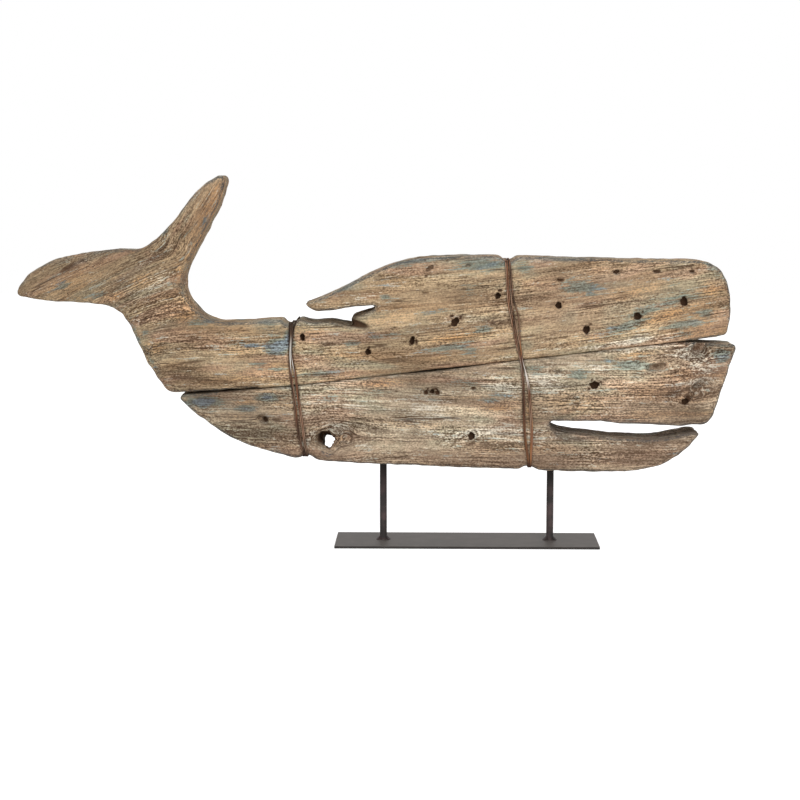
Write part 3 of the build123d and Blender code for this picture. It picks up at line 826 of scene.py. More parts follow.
def blobs(points, marks, sharpness=1.0):
    """How strongly soft oval marks cover points, on the back in other places than on the front"""
    cover = np.zeros(len(points))
    behind = smooth_step(points[:, 1], -0.010, 0.010)
    for x, z, half_length, half_height, tilt, strength in marks:
        along, up = from_place(points, x, z)
        along += BACK_SHIFT[0] * behind
        up += BACK_SHIFT[1] * behind
        lengthwise, crosswise = in_oval(along, up, half_length, half_height, tilt)
        cover = np.maximum(cover, strength * np.exp(-sharpness * (lengthwise ** 2 + crosswise ** 2)))
    return cover


@contextmanager
def edited(mesh):
    """The mesh opened for changes, which are written back at the end"""
    board = bmesh.new()
    board.from_mesh(mesh)
    yield board
    board.to_mesh(mesh)
    board.free()


def relax(board, verts, rounds, crosswise):
    """Smooths some vertices, crosswise to the board's faces only if that is wanted"""
    for _ in range(rounds):
        bmesh.ops.smooth_vert(
            board, verts=verts, factor=0.5, use_axis_x=True, use_axis_y=crosswise, use_axis_z=True)


def remeshed_copy(node_name, name, voxel):
    """Even mesh over a CAD board, which has the edge loops that wear needs"""
    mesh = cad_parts[node_name].data.copy()
    with edited(mesh) as board:
        bmesh.ops.remove_doubles(board, verts=board.verts, dist=0.00001)
    rough = add_object(name + "_rough", mesh)
    remesh = rough.modifiers.new("Even mesh", "REMESH")
    remesh.mode = "VOXEL"
    remesh.voxel_size = voxel
    even = finished_mesh(rough)
    with edited(even) as board:
        relax(board, board.verts, REMESH_ROUNDS, True)
    return add_smooth_piece(name, even)


def soften(piece, places):
    """Smooths a mesh near some places of the side view"""
    near = distance_to(read_points(piece.data), places) < NOTCH_REACH
    with edited(piece.data) as board:
        relax(board, [vertex for vertex in board.verts if near[vertex.index]], NOTCH_ROUNDS, False)


def refine(piece, places):
    """Halves the faces near some places of the front, which small holes need"""
    points = read_points(piece.data)
    near = (distance_to(points, places) < FINE_REACH) & (points[:, 1] < -0.010)
    with edited(piece.data) as board:
        edges = [edge for edge in board.edges if near[edge.verts[0].index] and near[edge.verts[1].index]]
        bmesh.ops.subdivide_edges(board, edges=edges, cuts=1, use_grid_fill=True)


def seam_height(x):
    """Height of the seam's straight line"""
    (left, low), (right, high) = SEAM_ENDS
    return low + (x - left) * (high - low) / (right - left)


def around_knots(coordinates, points, swirls):
    """Grain coordinates that flow round knots as water flows round posts, with rings inside the knots"""
    curls = 0.45 * waves(points, (0.0055, 0.008, 0.0035), 31)
    for x, z, radius, length in swirls:
        along, across = from_place(points, x, z)
        away = np.hypot(along / length, across) + TINY
        away *= 1 + curls * smooth_step(away, radius * 1.9 * MM, radius * 1.1 * MM)
        bent = -across * (radius * MM / away) ** 2
        rings = radius * MM - away - across
        coordinates[:, 1] += np.where(away > radius * MM, bent, rings)
    return coordinates


def upper_grain(points):
    """How far along the upper board's grain, how high across it and how deep points lie.

    The grain is level behind the middle, rises to the head and turns up into the flukes.
    """
    x, y, z = points.T
    head = 0.16 * 0.12 * np.log1p(np.exp((x + 0.05) / 0.12))
    bend = x + 0.335 + 0.5 * (0.28 - z)
    tail = 0.58 * 0.016 * np.log1p(np.exp(np.clip(-bend / 0.016, -30, 30)))
    across = z - head + tail
    pivot_x, pivot_z = FLUKE_PIVOT
    turn = math.radians(FLUKE_DEGREES)
    in_fluke = smooth_step(0.410 * (x - pivot_x) + 0.912 * (z - pivot_z), -0.012, 0.032) * (x < -0.22)
    fluke_along = pivot_x + (x - pivot_x) * math.cos(turn) + (z - pivot_z) * math.sin(turn)
    fluke_across = pivot_z + 0.02 + (z - pivot_z) * math.cos(turn) - (x - pivot_x) * math.sin(turn)
    along = x + (fluke_along - x) * in_fluke
    return np.stack([along, across + (fluke_across - across) * in_fluke, y], axis=1)


def lower_grain(points):
    """The same on the lower board, whose grain rises a little to the snout and flows round its knots"""
    x, y, z = points.T
    lift = -0.02 * x + 0.09 * 0.05 * np.log1p(np.exp((x - 0.2) / 0.05))
    return around_knots(np.stack([x, z - lift, y], axis=1), points, LOWER_SWIRLS)


def distance_to_outline(points, normals, at_hole):
    """Distance in the side view to the board's sawn outline, apart from its seam"""
    depth = np.abs(points[:, 1])
    wall = (np.abs(normals[:, 1]) < 0.45) & (depth > 0.012) & (depth < 0.024) & (at_hole >= HOLE_REACH)
    off_seam = np.abs(points[:, 2] - seam_height(points[:, 0]))
    wall &= ~((off_seam < SEAM_REACH) & (points[:, 0] > -0.32) & (points[:, 0] < 0.245))
    tree = KDTree(int(wall.sum()))
    for index, point in enumerate(points[wall]):
        tree.insert((point[0], 0, point[2]), index)
    tree.balance()
    return np.array([tree.find((x, 0, z))[2] for x, y, z in points])


def wear_edges(points, outward, wear):
    """Rounds the edges of both faces raggedly, and wider at the tail"""
    depth_share = smooth_step(np.abs(points[:, 1]), 0.014, 0.030)
    ragged = waves(points, (0.016, 0.02, 0.012), 3)
    tail = smooth_step(-points[:, 0], 0.27, 0.36)
    width = wear.edge_width * (1 + 0.55 * ragged) * (1 + wear.tail_softness * tail)
    fall = np.clip(1 - outward / width, 0, 1) ** 2
    points[:, 1] -= np.sign(points[:, 1]) * depth_share * fall * width * 0.34


def press_hollows(points, hollows):
    """Presses hollows into the front face and returns how much painted shade they get, from 0 to 0.5"""
    hollow = np.zeros(len(points))
    for *oval, deep in hollows:
        hollow = np.maximum(hollow, deep * blobs(points, [(*oval, 1.0)], 1.2))
    hollow *= 1 + 0.35 * waves(points, (0.007, 0.007, 0.004), 5)
    front = smooth_step(-points[:, 1], 0.010, 0.026)
    points[:, 1] += front * hollow * MM
    return front * np.clip(hollow / 14, 0, 0.5)


def raise_grain(points, normals, outward, grain, wear):
    """Raises broad ridges along the grain and slow lumps, and chips the edges"""
    lengthwise = grain(points)
    ridges = waves(lengthwise, (0.060, 0.0045, 0.0045), 7) * 0.6 + waves(lengthwise, (0.09, 0.010, 0.010), 8)
    lumps = waves(points, (0.03, 0.03, 0.02), 9)
    points += normals * (ridges * wear.ridge_height + lumps * wear.lump_height)[:, None]
    chips = waves(points, (0.010, 0.006, 0.010), 11)
    points += normals * (chips * wear.chip_height * (outward < 0.006))[:, None]


def push_outwards(points, along, up, radius, push):
    points[:, 0] += along / radius * push
    points[:, 2] += up / radius * push


def tear_nail_holes(points, nails):
    """Widens the round nail holes to ragged tilted ovals, and makes them shallower"""
    for number, (x, z, half_width, half_height, tilt, kept) in enumerate(nails):
        along, up = from_place(points, x, z)
        radius = np.hypot(along, up) + TINY
        angle = np.arctan2(up, along)
        turned = angle - math.radians(tilt)
        edge = 1 / np.hypot(np.cos(turned) / half_width, np.sin(turned) / half_height)
        edge *= 1 + 0.06 * np.sin(3 * angle + 2.1 * number) + 0.07 * np.sin(5 * angle + 4.7 * number)
        near_front = smooth_step(points[:, 1], FRONT + 0.024, FRONT + 0.020)
        push = (edge - NAIL_RADIUS) * smooth_step(radius, 0.011, 0.0035) * near_front * MM
        push_outwards(points, along, up, radius, push)
        inside = (radius < 0.0052) & (points[:, 1] < FRONT + 0.0215)
        depth = points[:, 1] - FRONT
        points[:, 1] = np.where(inside & (depth > 0), FRONT + depth * kept, points[:, 1])


def press_pits(points, pits):
    """Presses small pits into the front face and returns how much painted shade they get"""
    pit = np.zeros(len(points))
    for x, z, half_length, half_height, tilt, deep, darkness in pits:
        lengthwise, crosswise = in_oval(*from_place(points, x, z), half_length, half_height, tilt)
        inside = smooth_step(np.hypot(lengthwise, crosswise), 1.3, 0.75)
        inside *= smooth_step(points[:, 1], FRONT + 0.009, FRONT + 0.005)
        points[:, 1] += inside * deep * MM
        pit = np.maximum(pit, inside * darkness)
    return pit


def open_knot(points):
    """Tears the slanted knot hole wider, with a pit beside it, and returns how much painted shade both get"""
    inward = np.clip((points[:, 1] - FRONT) / (-2 * FRONT), 0, 1)
    along = points[:, 0] - (KNOT[0] + (KNOT_BACK[0] - KNOT[0]) * inward) * MM
    up = points[:, 2] - (KNOT[1] + (KNOT_BACK[1] - KNOT[1]) * inward) * MM
    radius = np.hypot(along, up) + TINY
    angle = np.arctan2(up, along)
    edge = 1 / np.hypot(np.cos(angle) / KNOT_HALF_WIDTH, np.sin(angle) / KNOT_HALF_HEIGHT)
    edge *= 1 + 0.09 * np.sin(3 * angle + 0.6) + 0.10 * np.sin(7 * angle + 2.0) + 0.05 * np.sin(11 * angle)
    push = (edge - KNOT_RADIUS) * smooth_step(radius, 0.018, 0.008) * MM
    push_outwards(points, along, up, radius, push)
    x, z, half_length, half_height, deep = KNOT_PIT
    away = np.hypot((points[:, 0] - x * MM) / half_length, (points[:, 2] - z * MM) / half_height) / MM
    away *= 1 + 0.12 * waves(points, (0.004, 0.004, 0.003), 21)
    pit = smooth_step(away, 1.15, 0.55) * smooth_step(points[:, 1], 0.0, FRONT + 0.004)
    points[:, 1] += pit * deep * MM
    return np.maximum(pit, 0.5 * smooth_step(radius, 0.0105, 0.0085) * smooth_step(along, 0.005, -0.005))


def blunt_fin(points):
    """Rounds the tip of the fin"""
    x, z = points[:, 0], points[:, 2]
    tip_x, tip_z = FIN_TIP
    bluntness = (z - tip_z * MM) / (FIN_TIP_HALF_HEIGHT * MM)
    (left, bottom), (right, top) = FIN_TIP_BOX
    at_tip = (z > bottom) & (z < top) & (x > left) & (x < right)
    points[at_tip, 0] = np.maximum(x, tip_x * MM + 2 * MM * bluntness ** 2)[at_tip]


def carve(piece, box, nails, pits, hollows, grain, is_lower, wear):
    """Wears a board: soft chipped edges, hollows, ragged holes and raised grain.

    Returns for each point how near it is to the outline and how far it faces up, both from 0 to 1, and
    how much painted shade it gets in the holes, pits and hollows: 1 in a nail hole and up to 1.7 in the knot.
    """
    mesh = piece.data
    points, normals = read_points(mesh), read_normals(mesh)
    at_hole = distance_to(points, [nail[:2] for nail in nails])
    outward = distance_to_outline(points, normals, at_hole)
    wear_edges(points, outward, wear)
    dent = press_hollows(points, hollows)
    raise_grain(points, normals, outward, grain, wear)
    tear_nail_holes(points, nails)
    pit = press_pits(points, pits)
    if is_lower:
        pit = np.maximum(pit, KNOT_DARKNESS * open_knot(points))
    else:
        blunt_fin(points)
    low, high = box
    points = np.clip(points, np.array(low), np.array(high))
    write_points(mesh, points)
    recess_shade = np.clip((points[:, 1] - FRONT - 0.0006) / 0.004, 0, 1)
    recess_shade *= (at_hole < 0.0065) & (points[:, 1] < FRONT + 0.023)
    recess_shade = np.maximum(np.maximum(recess_shade, dent), pit)
    on_face = smooth_step(np.abs(points[:, 1]), 0.020, 0.027)
    upward = smooth_step(read_normals(mesh)[:, 2], 0.25, 0.85)
    return np.exp(-((outward / 0.0028) ** 2)) * (0.25 + 0.75 * on_face), upward, recess_shade


def strand_lines(strands, heights):
    """X of each strand of a wire at some heights"""
    rows = np.array(strands[::-1]) * MM
    return [np.interp(heights, rows[:, 0], column) for column in rows[:, 1:].T]


def wire_shadow(points):
    """How much of the wires' shadow falls on points of the front"""
    aside = np.full(len(points), 1.0)
    for strands in (REAR_STRANDS, FRONT_STRANDS):
        beyond = np.abs(points[:, 2] - np.clip(points[:, 2], strands[-1][0] * MM, strands[0][0] * MM))
        for line in strand_lines(strands, points[:, 2]):
            aside = np.minimum(aside, np.abs(points[:, 0] - line) + beyond)
    return smooth_step(aside, 0.0025, 0.0011) * (points[:, 1] < 0)


def dress_board(
    wood, node_name, name, nails, pits, hollows, notches, fine_places, wall_shade_marks, grain, is_lower,
    masks, looks,
):
    """Wears a board, marks where its stains, coats, painted shade and painted highlights lie, and gives it
    its material
    """
    piece = remeshed_copy(node_name, name, wood.voxel)
    soften(piece, notches)
    refine(piece, [mark[:2] for mark in (*nails, *pits)] + fine_places)
    edge, upward, recess_shade = carve(piece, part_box(node_name), nails, pits, hollows, grain, is_lower, wood)
    mesh = piece.data
    points = read_points(mesh)
    add_vectors(mesh, "grain", grain(points))
    blue, warm, white, gloom, shade, calm, rough, rosy, pale = [blobs(points, marks) for marks in masks]
    # Painted shade on the walls under the fin and in the mouth, whose upward faces aren't bleached
    painted_wall_shade = np.clip(blobs(points, wall_shade_marks), 0, 1) * smooth_step(np.abs(points[:, 1]), 0.0308, 0.028)
    upward *= 1 - np.clip(painted_wall_shade * 1.5, 0, 1)
    if is_lower:
        edge *= smooth_step(distance_to(points, [KNOT]), 0.014, 0.019)
    add_colours(mesh, "marks", blue * 1.15, warm, white)
    add_colours(mesh, "zones", gloom, edge, recess_shade)
    add_colours(mesh, "weather", upward, shade, rough)
    add_colours(mesh, "places", painted_wall_shade, calm, wire_shadow(points))
    add_colours(mesh, "tints", rosy, pale, np.zeros(len(points)))
    give_material(mesh, wood_material(name.replace("_", " "), wood, *looks))
    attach(piece, "whale")
    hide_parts(node_name)


def tube_along(name, route, radius):
    """Round tube whose middle is the smooth spline of a route"""
    curve = bpy.data.curves.new(name + "_line", "CURVE")
    curve.dimensions = "3D"
    curve.bevel_depth = radius
    curve.bevel_resolution = 2
    curve.resolution_u = 4
    curve.use_fill_caps = True
    spline = curve.splines.new("NURBS")
    spline.points.add(len(route) - 1)
    for point, place in zip(spline.points, route):
        point.co = (*place, 1)
    spline.order_u = 3
    spline.use_endpoint_u = True
    return add_smooth_piece(name, finished_mesh(add_object(name + "_line", curve)))


def twisted_end(root, wire, half_turn, length):
    """Points from the root outwards of one of two wire ends that are twisted together"""
    lean = Vector((0.92, 0.12, -0.36)).normalized()
    across = (Vector((0, 0, 1)) - lean * lean.z).normalized()
    aside = lean.cross(across)
    steps = POINTS_PER_TWIST * wire.twists
    points = []
    for step in range(int(steps * length / wire.twist_length) + 1):
        turn = 2 * math.pi * (step / POINTS_PER_TWIST + half_turn / 2)
        out = lean * (wire.twist_length * step / steps)
        points.append(root + out + (across * math.cos(turn) + aside * math.sin(turn)) * wire.radius * 1.02)
    return points


def wire_route(node_name, strands, crest, wire):
    """Route of a wire wound four times round both boards, with its ends twisted together at the back"""
    low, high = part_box(node_name)
    radius = wire.radius
    top, bottom = high[2] - radius, low[2] + radius
    front = FRONT - radius
    back = -front
    middle_x = (strands[0][2] + strands[-1][2]) / 2 * MM
    root = Vector((middle_x, back + 0.0016, (top + bottom) / 2))
    route = twisted_end(root, wire, 0, wire.twist_length)[::-1]
    count = len(strands[0]) - 1
    for turn, bow in enumerate(STRAND_BOWS):
        is_last = turn == count - 1
        top_x, bottom_x = strands[0][turn + 1] * MM, strands[-1][turn + 1] * MM
        aside, lift = [side * MM if is_last else 0.0 for side in crest]
        route += [
            Vector((top_x + bow, back, top - 0.030)), Vector((top_x, back, top - 0.006)),
            Vector((top_x, back - 0.0008, top)), Vector((top_x, 0.020, top + 0.0002)),
            Vector((top_x + bow / 2 + aside * 0.6, 0.0, top + lift * 0.7)),
            Vector((top_x + aside, -0.022, top + lift)), Vector((top_x + aside, front + 0.0012, top + lift)),
        ]
        for row in strands:
            x = row[turn + 1]
            closest = min([abs(x - other) for other in row[1:turn + 1]], default=9)
            over = max(0.0, 1 - closest / (2 * radius / MM)) * 2 * radius
            route.append(Vector((x * MM, front - over, row[0] * MM)))
        next_x = (strands[0][1] if is_last else strands[0][turn + 2]) * MM
        route += [
            Vector((bottom_x, front + 0.0012, bottom)), Vector((bottom_x, -0.020, bottom)),
            Vector((bottom_x - bow / 2, 0.0, bottom)), Vector((bottom_x, 0.020, bottom)),
            Vector((bottom_x, back - 0.0008, bottom)), Vector((bottom_x, back, bottom + 0.006)),
            Vector((bottom_x * 0.9 + next_x * 0.1 + bow, back, bottom + 0.030)),
        ]
        if not is_last:
            half_x = (bottom_x + next_x) / 2 - bow
            route.append(Vector((half_x, back, (top + bottom) / 2)))
    return route + twisted_end(root, wire, 1, wire.twist_length * 0.85)


def wind_wire(wire, node_name, name, strands, tones, crest, *looks):
    """Winds a wire round both boards, marks where its painted highlights and shade go, its low loops and each
    strand's brightness, and gives it its material
    """
    piece = tube_along(name, wire_route(node_name, strands, crest, wire), wire.radius)
    points, normals = read_points(piece.data), read_normals(piece.data)
    low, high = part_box(node_name)
    on_face = np.abs(points[:, 1]) > -FRONT - 0.0008
    over_edge = normals[:, 2] * np.sign(points[:, 2] - (low[2] + high[2]) / 2)
    crown = np.clip(np.where(on_face, normals[:, 1] * np.sign(points[:, 1]), over_edge), 0, 1)
    below = smooth_step(points[:, 2], low[2] + 0.012, low[2] + 0.003)
    centres = points - normals * wire.radius
    lines = strand_lines(strands, centres[:, 2])
    strand = np.argmin([np.abs(centres[:, 0] - line) for line in lines], axis=0)
    climb = smooth_step(points[:, 2], low[2] + 0.03, high[2] - 0.03)
    top_tone, bottom_tone = np.array(tones).T
    tone = bottom_tone[strand] + (top_tone[strand] - bottom_tone[strand]) * climb
    # How far each point faces out, for the painted highlight and shade, how low it lies, and its strand's
    # brightness
    add_colours(piece.data, "wear", crown, below, tone)
    give_material(piece.data, wire_material(name.replace("_", " "), wire, *looks))
    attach(piece, "whale")
    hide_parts(node_name)


def look_from(thing, place, aim):
    """Puts a camera or light in its place and turns it towards its aim"""
    thing.location = place
    thing.rotation_euler = (Vector(aim) - Vector(place)).to_track_quat("-Z", "Y").to_euler()


def add_light(name, place, size, power):
    data = bpy.data.lights.new(name, "AREA")
    data.shape = "DISK"
    data.size = size
    data.energy = power
    look_from(add_object(name, data), place, LIGHT_AIM)


def add_floor(stage):
    """Pale floor that glows a little where the camera sees it"""
    mesh = bpy.data.meshes.new("floor")
    with edited(mesh) as sheet:
        bmesh.ops.create_grid(sheet, x_segments=1, y_segments=1, size=4.0)
    floor = add_object("floor", mesh)
    material = bpy.data.materials.new("pale floor")
    material.use_nodes = True
    graph = Graph(material.node_tree)
    graph.fill(material.node_tree.nodes["Principled BSDF"], {
        "Base Color": solid(stage.floor_colour), "Roughness": 0.9, "Specular IOR Level": 0.0,
        "Emission Color": (1, 1, 1, 1), "Emission Strength": graph.for_camera(stage.floor_glow, 0.0),
    })
    mesh.materials.append(material)


def colour_setting(name, description, *levels):
    """Setting of a colour, whose default is given as a display colour of 0 to 255"""
    return bpy.props.FloatVectorProperty(
        name=name, description=description, subtype="COLOR", size=3, min=0, max=1,
        default=paint(*levels)[:3])


def share_setting(name, description, default):
    return bpy.props.FloatProperty(
        name=name, description=description, subtype="FACTOR", min=0, max=1, default=default)


def length_setting(name, description, default, least, most):
    return bpy.props.FloatProperty(
        name=name, description=description, unit="LENGTH", min=least, max=most, default=default)


class WoodSettings(bpy.types.PropertyGroup):
    """Colours and relief of the two boards"""

    base_colour: colour_setting("Wood", "Colour of most of the wood", 178, 154, 124)
    light_colour: colour_setting("Light bands", "Colour of the lightest growth bands", 198, 174, 140)
    shade_colour: colour_setting("Dark bands", "Colour of the darkest growth bands", 148, 121, 93)
    lower_base_colour: colour_setting("Lower board", "Colour of most of the lower board", 182, 163, 139)
    lower_light_colour: colour_setting(
        "Lower light bands", "Colour of the lower board's lightest bands", 203, 186, 161)
    lower_shade_colour: colour_setting(
        "Lower dark bands", "Colour of the lower board's darkest bands", 152, 128, 106)
    grey_colour: colour_setting(
        "Weathered grey", "Colour where the weather has greyed the wood", 150, 149, 128)
    rosy_colour: colour_setting("Rosy wood", "Colour of the fresher wood", 184, 148, 124)
    golden_colour: colour_setting("Golden stain", "Colour of the warm stains", 200, 150, 98)
    # Also the colour of the wires' painted shadow on the boards' fronts
    crevice_and_shadow_colour: colour_setting("Crevices", "Colour of the dirt between the fibres", 82, 60, 44)
    bleached_colour: colour_setting("Bleached tops", "Colour of the edges that face the sky", 150, 148, 140)
    # Also the colour of the painted highlights along the seam
    whitewash_and_highlight_colour: colour_setting("Whitewash", "Colour of what is left of the whitewash", 212, 203, 188)
    blue_colour: colour_setting("Blue paint", "Colour of the blue paint's remnants", 88, 116, 134)
    teal_colour: colour_setting("Green-blue paint", "Colour of the faded paint's remnants", 112, 124, 116)
    edge_colour: colour_setting("Edges", "Colour of the grime along the sawn edges", 86, 90, 90)
    # Painted shade deep in the holes, pits and hollows
    hole_shade_colour: colour_setting("Holes", "Colour deep in the nail holes", 86, 62, 44)
    # Colours of the painted shade on the walls under the fin and in the mouth
    slot_shade_colour: colour_setting("Fin slot", "Colour of the walls under the fin", 96, 80, 62)
    mouth_shade_colour: colour_setting("Mouth", "Colour of the mouth's walls", 122, 109, 98)
    # Painted shade in the pit beside the fallen knot
    knot_shade_colour: colour_setting("Knot", "Colour of the pit beside the fallen knot", 40, 30, 24)
    brushing: share_setting("Brushing", "How short the brushed strokes are", 0.5)
    crispness: bpy.props.FloatProperty(
        name="Crisp streaks", description="How sharply the upper board's streaks stand apart", min=0, max=10,
        default=5.0)
    lower_crispness: bpy.props.FloatProperty(
        name="Lower crisp streaks", description="How sharply the lower board's streaks stand apart", min=0,
        max=10, default=6.2)
    unevenness: share_setting(
        "Smooth places", "How much fainter the streaks are in the smoother places", 0.45)
    patchiness: share_setting(
        "Patchiness", "How strongly wide areas of the upper board differ in tone", 0.68)
    lower_patchiness: share_setting(
        "Lower patchiness", "How strongly wide areas of the lower board differ in tone", 0.95)
    contrast: share_setting("Streak contrast", "How strongly the fine streaks change the tone", 1.0)
    gilding: share_setting("Golden stains", "How strong the warm stains are", 0.7)
    greying: share_setting("Greying", "How much the weather has greyed the wood", 0.55)
    edge_grime: share_setting("Edge grime", "How dark the sawn edges are", 0.8)
    relief_strength: share_setting("Relief", "Strength of the fine grain relief", 0.9)
    relief_depth: length_setting("Relief depth", "Depth of the fine grain relief", 0.0016, 0, 0.01)
    voxel: length_setting("Mesh step", "Size of the even mesh's faces", 0.002, 0.001, 0.01)
    edge_width: length_setting("Edge wear", "Width of the worn edges", 0.009, 0, 0.02)
    tail_softness: bpy.props.FloatProperty(
        name="Tail softness", description="How much wider the tail's edges are worn", min=0, max=4,
        default=1.5)
    ridge_height: length_setting("Ridges", "Height of the broad grain ridges", 0.00035, 0, 0.005)
    lump_height: length_setting("Unevenness", "Height of the boards' slow unevenness", 0.0006, 0, 0.005)
    chip_height: length_setting("Chips", "Height of the edges' chips", 0.0007, 0, 0.005)


class WireSettings(bpy.types.PropertyGroup):
    """Gauge and colours of the binding wires"""

    radius: length_setting("Radius", "Radius of the wire", 0.00075, 0.0002, 0.003)
    twist_length: length_setting(
        "Twisted ends", "Length of the ends twisted together at the back", 0.016, 0.002, 0.05)
    twists: bpy.props.IntProperty(
        name="Twists", description="Turns of the twisted ends", min=1, max=20, default=4)
    rear_bare: bpy.props.FloatVectorProperty(
        name="Rear bare stretch", description="Heights between which the rear wire is rubbed bare",
        unit="LENGTH", size=2, min=0, max=1, default=(0.204, 0.233))
    front_bare: bpy.props.FloatVectorProperty(
        name="Front bare stretch", description="Heights between which the front wire is rubbed bare",
        unit="LENGTH", size=2, min=0, max=1, default=(0.187, 0.211))
    bare_fade: length_setting(
        "Bare fade", "How far the rubbed stretch fades at its ends", 0.010, 0.001, 0.1)
    iron_colour: colour_setting("Iron", "Colour of the bare iron", 100, 72, 58)
    # Painted highlight on the stretch rubbed bare
    bare_highlight_colour: colour_setting(
        "Rubbed iron", "Colour of the iron where it is rubbed bright", 253, 248, 238)
    # Painted highlight along the strands' crowns
    worn_colour: colour_setting("Worn iron", "Colour of the strands' worn crowns", 190, 158, 132)
    # Colour that the loops under the belly darken towards
    low_loop_colour: colour_setting("Wet rust", "Colour of the loops under the belly", 52, 36, 30)


class SteelSettings(bpy.types.PropertyGroup):
    """Colours of the stand"""

    plate_colour: colour_setting("Plate", "Colour of the plate", 100, 94, 90)
    plate_worn_colour: colour_setting("Worn plate", "Colour of the plate where it is worn", 113, 107, 103)
    rod_colour: colour_setting("Rods", "Colour of the rods and welds", 60, 56, 55)
    rod_worn_colour: colour_setting("Worn rods", "Colour of the rods where they are worn", 88, 74, 73)


class DowelSettings(bpy.types.PropertyGroup):
    """Colours of the dowels"""

    base_colour: colour_setting("Beech", "Colour of the dowels", 196, 162, 120)
    light_colour: colour_setting("Light beech", "Colour of the dowels' light bands", 214, 184, 144)
    shade_colour: colour_setting("Beech flecks", "Colour of the dowels' flecks", 150, 112, 78)


class StageSettings(bpy.types.PropertyGroup):
    """Camera, lights and floor"""

    camera_place: bpy.props.FloatVectorProperty(
        name="Camera", description="Where the camera stands", subtype="XYZ", unit="LENGTH", size=3,
        default=(-0.035, -2.074, 0.432))
    camera_aim: bpy.props.FloatVectorProperty(
        name="Aim", description="What the camera looks at", subtype="XYZ", unit="LENGTH", size=3,
        default=(-0.0764, 0.0, 0.1644))
    lens: bpy.props.FloatProperty(
        name="Lens", description="Focal length in millimetres on a 36 mm sensor", min=10, max=300,
        default=82.575)
    floor_colour: bpy.props.FloatVectorProperty(
        name="Floor", description="Colour of the floor and backdrop", subtype="COLOR", size=3, min=0, max=1,
        default=(0.9, 0.9, 0.9))
    floor_glow: bpy.props.FloatProperty(
        name="Floor glow", description="How much the camera sees the floor glow", min=0, max=2, default=0.6)
    sky_strength: bpy.props.FloatProperty(
        name="Fill", description="Strength of the even light from all around", min=0, max=5, default=0.63)
    key_power: bpy.props.FloatProperty(
        name="Key", description="Power of the main soft light", unit="POWER", min=0, max=500, default=32.5)
    side_power: bpy.props.FloatProperty(
        name="Side light", description="Power of the soft light from the left", unit="POWER", min=0, max=500,
        default=10)


class WHALE_OT_set_stage(bpy.types.Operator):
    """Camera, soft lights and a pale floor"""

    bl_idname = "whale.set_stage"
    bl_label = "Set the stage"

    def execute(self, context):
        stage = context.scene.whale_stage
        data = bpy.data.cameras.new("camera")
        data.lens = stage.lens
        data.sensor_width = 36
        camera = add_object("camera", data)
        look_from(camera, stage.camera_place, stage.camera_aim)
        context.scene.camera = camera
        context.scene.view_settings.view_transform = "Standard"

        world = bpy.data.worlds.new("pale surroundings")
        context.scene.world = world
        world.use_nodes = True
        graph = Graph(world.node_tree)
        strength = graph.for_camera(1.0, stage.sky_strength)
        graph.fill(world.node_tree.nodes["Background"], {"Color": (1, 1, 1, 1), "Strength": strength})
        add_floor(stage)
        add_light("key", (0.9, -2.2, 1.7), 1.6, stage.key_power)
        add_light("side", (-2.0, -1.5, 1.2), 1.4, stage.side_power)
        return {"FINISHED"}


class WHALE_OT_carve_upper_board(bpy.types.Operator):
    """Weathered upper board with the flukes, the fin and the brow"""

    bl_idname = "whale.carve_upper_board"
    bl_label = "Carve the upper board"

    def execute(self, context):
        wood = context.scene.whale_wood
        dress_board(
            wood, "upper_plank", "upper_board", UPPER_NAILS, UPPER_PITS, UPPER_HOLLOWS, UPPER_NOTCHES,
            UPPER_FINE, UPPER_WALL_SHADE, upper_grain, False,
            (UPPER_PAINT, UPPER_RUST, UPPER_WHITE, UPPER_GLOOM, UPPER_SHADES, UPPER_CALM, UPPER_ROUGH,
             UPPER_ROSY, UPPER_PALE),
            (wood.crispness, wood.patchiness, wood.slot_shade_colour, wood.base_colour, wood.light_colour,
             wood.shade_colour))
        return {"FINISHED"}


class WHALE_OT_carve_lower_board(bpy.types.Operator):
    """Weathered lower board with the belly, the mouth and the jaw"""

    bl_idname = "whale.carve_lower_board"
    bl_label = "Carve the lower board"

    def execute(self, context):
        wood = context.scene.whale_wood
        dress_board(
            wood, "lower_plank", "lower_board", LOWER_NAILS, LOWER_PITS, LOWER_HOLLOWS, LOWER_NOTCHES,
            LOWER_FINE, LOWER_WALL_SHADE, lower_grain, True,
            (LOWER_PAINT, LOWER_RUST, LOWER_WHITE, LOWER_GLOOM, LOWER_SHADES, LOWER_CALM, LOWER_ROUGH,
             LOWER_ROSY, LOWER_PALE),
            (wood.lower_crispness, wood.lower_patchiness, wood.mouth_shade_colour, wood.lower_base_colour,
             wood.lower_light_colour, wood.lower_shade_colour))
        return {"FINISHED"}


class WHALE_OT_wind_rear_wire(bpy.types.Operator):
    """Rusty wire wound round both boards behind the fin"""

    bl_idname = "whale.wind_rear_wire"
    bl_label = "Wind the rear wire"

    def execute(self, context):
        wire = context.scene.whale_wire
        wind_wire(
            wire, "rear_binding_wire", "rear_wire", REAR_STRANDS, REAR_TONES, REAR_CREST, wire.rear_bare,
            *REAR_ORANGE)
        return {"FINISHED"}


class WHALE_OT_wind_front_wire(bpy.types.Operator):
    """Rusty wire wound round both boards in front of the middle"""

    bl_idname = "whale.wind_front_wire"
    bl_label = "Wind the front wire"

    def execute(self, context):
        wire = context.scene.whale_wire
        wind_wire(
            wire, "front_binding_wire", "front_wire", FRONT_STRANDS, FRONT_TONES, FRONT_CREST,
            wire.front_bare, *FRONT_ORANGE)
        return {"FINISHED"}


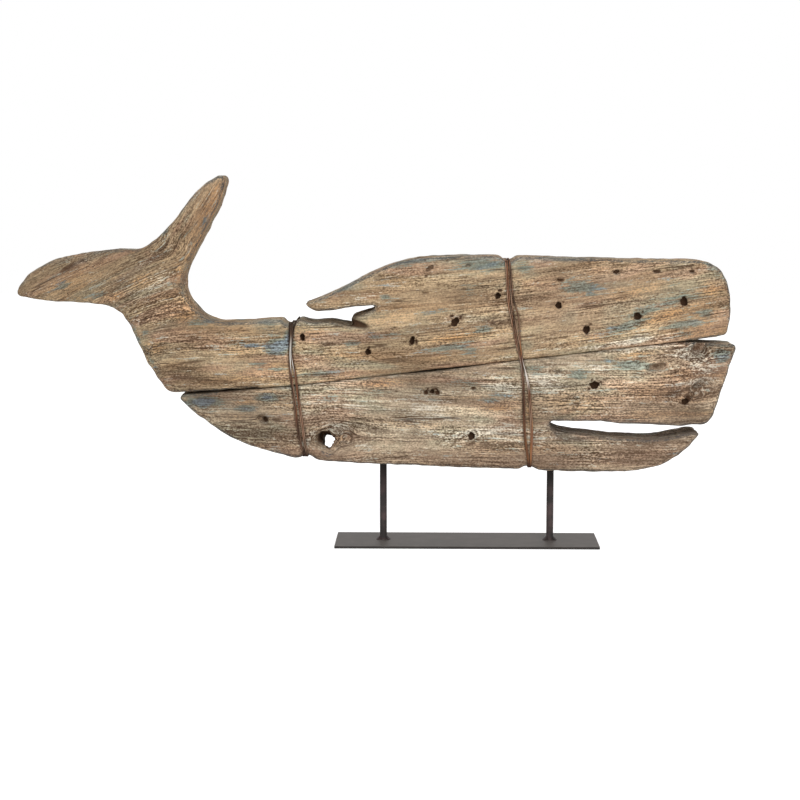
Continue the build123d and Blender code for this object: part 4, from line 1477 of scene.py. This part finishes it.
class WHALE_OT_finish_stand(bpy.types.Operator):
    """Dark steel on the plate, the rods and their welds"""

    bl_idname = "whale.finish_stand"
    bl_label = "Finish the stand"

    def execute(self, context):
        # Painted shade: the plate is dark below its upper edge, and the rods darken towards the belly above
        # them
        steel = context.scene.whale_steel
        finish_node("base_plate", steel_material(
            "blackened plate", steel.plate_colour, steel.plate_worn_colour, 0.35, 0.5, 0.2,
            (0.0028, 0.0026), (0.006, 0.005, 0.005, 1)))
        rod = steel_material(
            "blackened rod", steel.rod_colour, steel.rod_worn_colour, 0.1, 0.2, 0.26, (0.030, 0.088),
            (0.007, 0.006, 0.005, 1))
        for node_name in ("rear_post", "front_post", "rear_post_welds", "front_post_welds"):
            finish_node(node_name, rod)
        return {"FINISHED"}


class WHALE_OT_finish_dowels(bpy.types.Operator):
    """Plain beech on the dowels across the seam"""

    bl_idname = "whale.finish_dowels"
    bl_label = "Finish the dowels"

    def execute(self, context):
        beech = dowel_material("plain beech", context.scene.whale_dowels)
        for node_name in ("seam_dowel_rear", "seam_dowel_middle", "seam_dowel_front"):
            finish_node(node_name, beech)
        return {"FINISHED"}


class WHALE_PT_panel(bpy.types.Panel):
    """The whale's pieces and settings"""

    bl_idname = "WHALE_PT_panel"
    bl_label = "Old board whale"
    bl_space_type = "VIEW_3D"
    bl_region_type = "UI"
    bl_category = "Whale"

    def draw(self, context):
        for operator in OPERATORS:
            self.layout.operator(operator.bl_idname)
        for name in SETTINGS:
            settings = getattr(context.scene, name)
            box = self.layout.box()
            for setting in settings.__annotations__:
                box.prop(settings, setting)


OPERATORS = (
    WHALE_OT_set_stage,
    WHALE_OT_carve_upper_board,
    WHALE_OT_carve_lower_board,
    WHALE_OT_wind_rear_wire,
    WHALE_OT_wind_front_wire,
    WHALE_OT_finish_dowels,
    WHALE_OT_finish_stand,
)
SETTINGS = {
    "whale_wood": WoodSettings, "whale_wire": WireSettings, "whale_steel": SteelSettings,
    "whale_dowels": DowelSettings, "whale_stage": StageSettings,
}
CLASSES = (*SETTINGS.values(), *OPERATORS, WHALE_PT_panel)


def register():
    for made in CLASSES:
        bpy.utils.register_class(made)
    for name, group in SETTINGS.items():
        setattr(bpy.types.Scene, name, bpy.props.PointerProperty(type=group))


def unregister():
    for name in SETTINGS:
        delattr(bpy.types.Scene, name)
    for made in reversed(CLASSES):
        bpy.utils.unregister_class(made)


def main():
    register()
    bpy.ops.whale.set_stage()
    bpy.ops.whale.carve_upper_board()
    bpy.ops.whale.carve_lower_board()
    bpy.ops.whale.wind_rear_wire()
    bpy.ops.whale.wind_front_wire()
    bpy.ops.whale.finish_dowels()
    bpy.ops.whale.finish_stand()


if __name__ == "__main__":
    main()
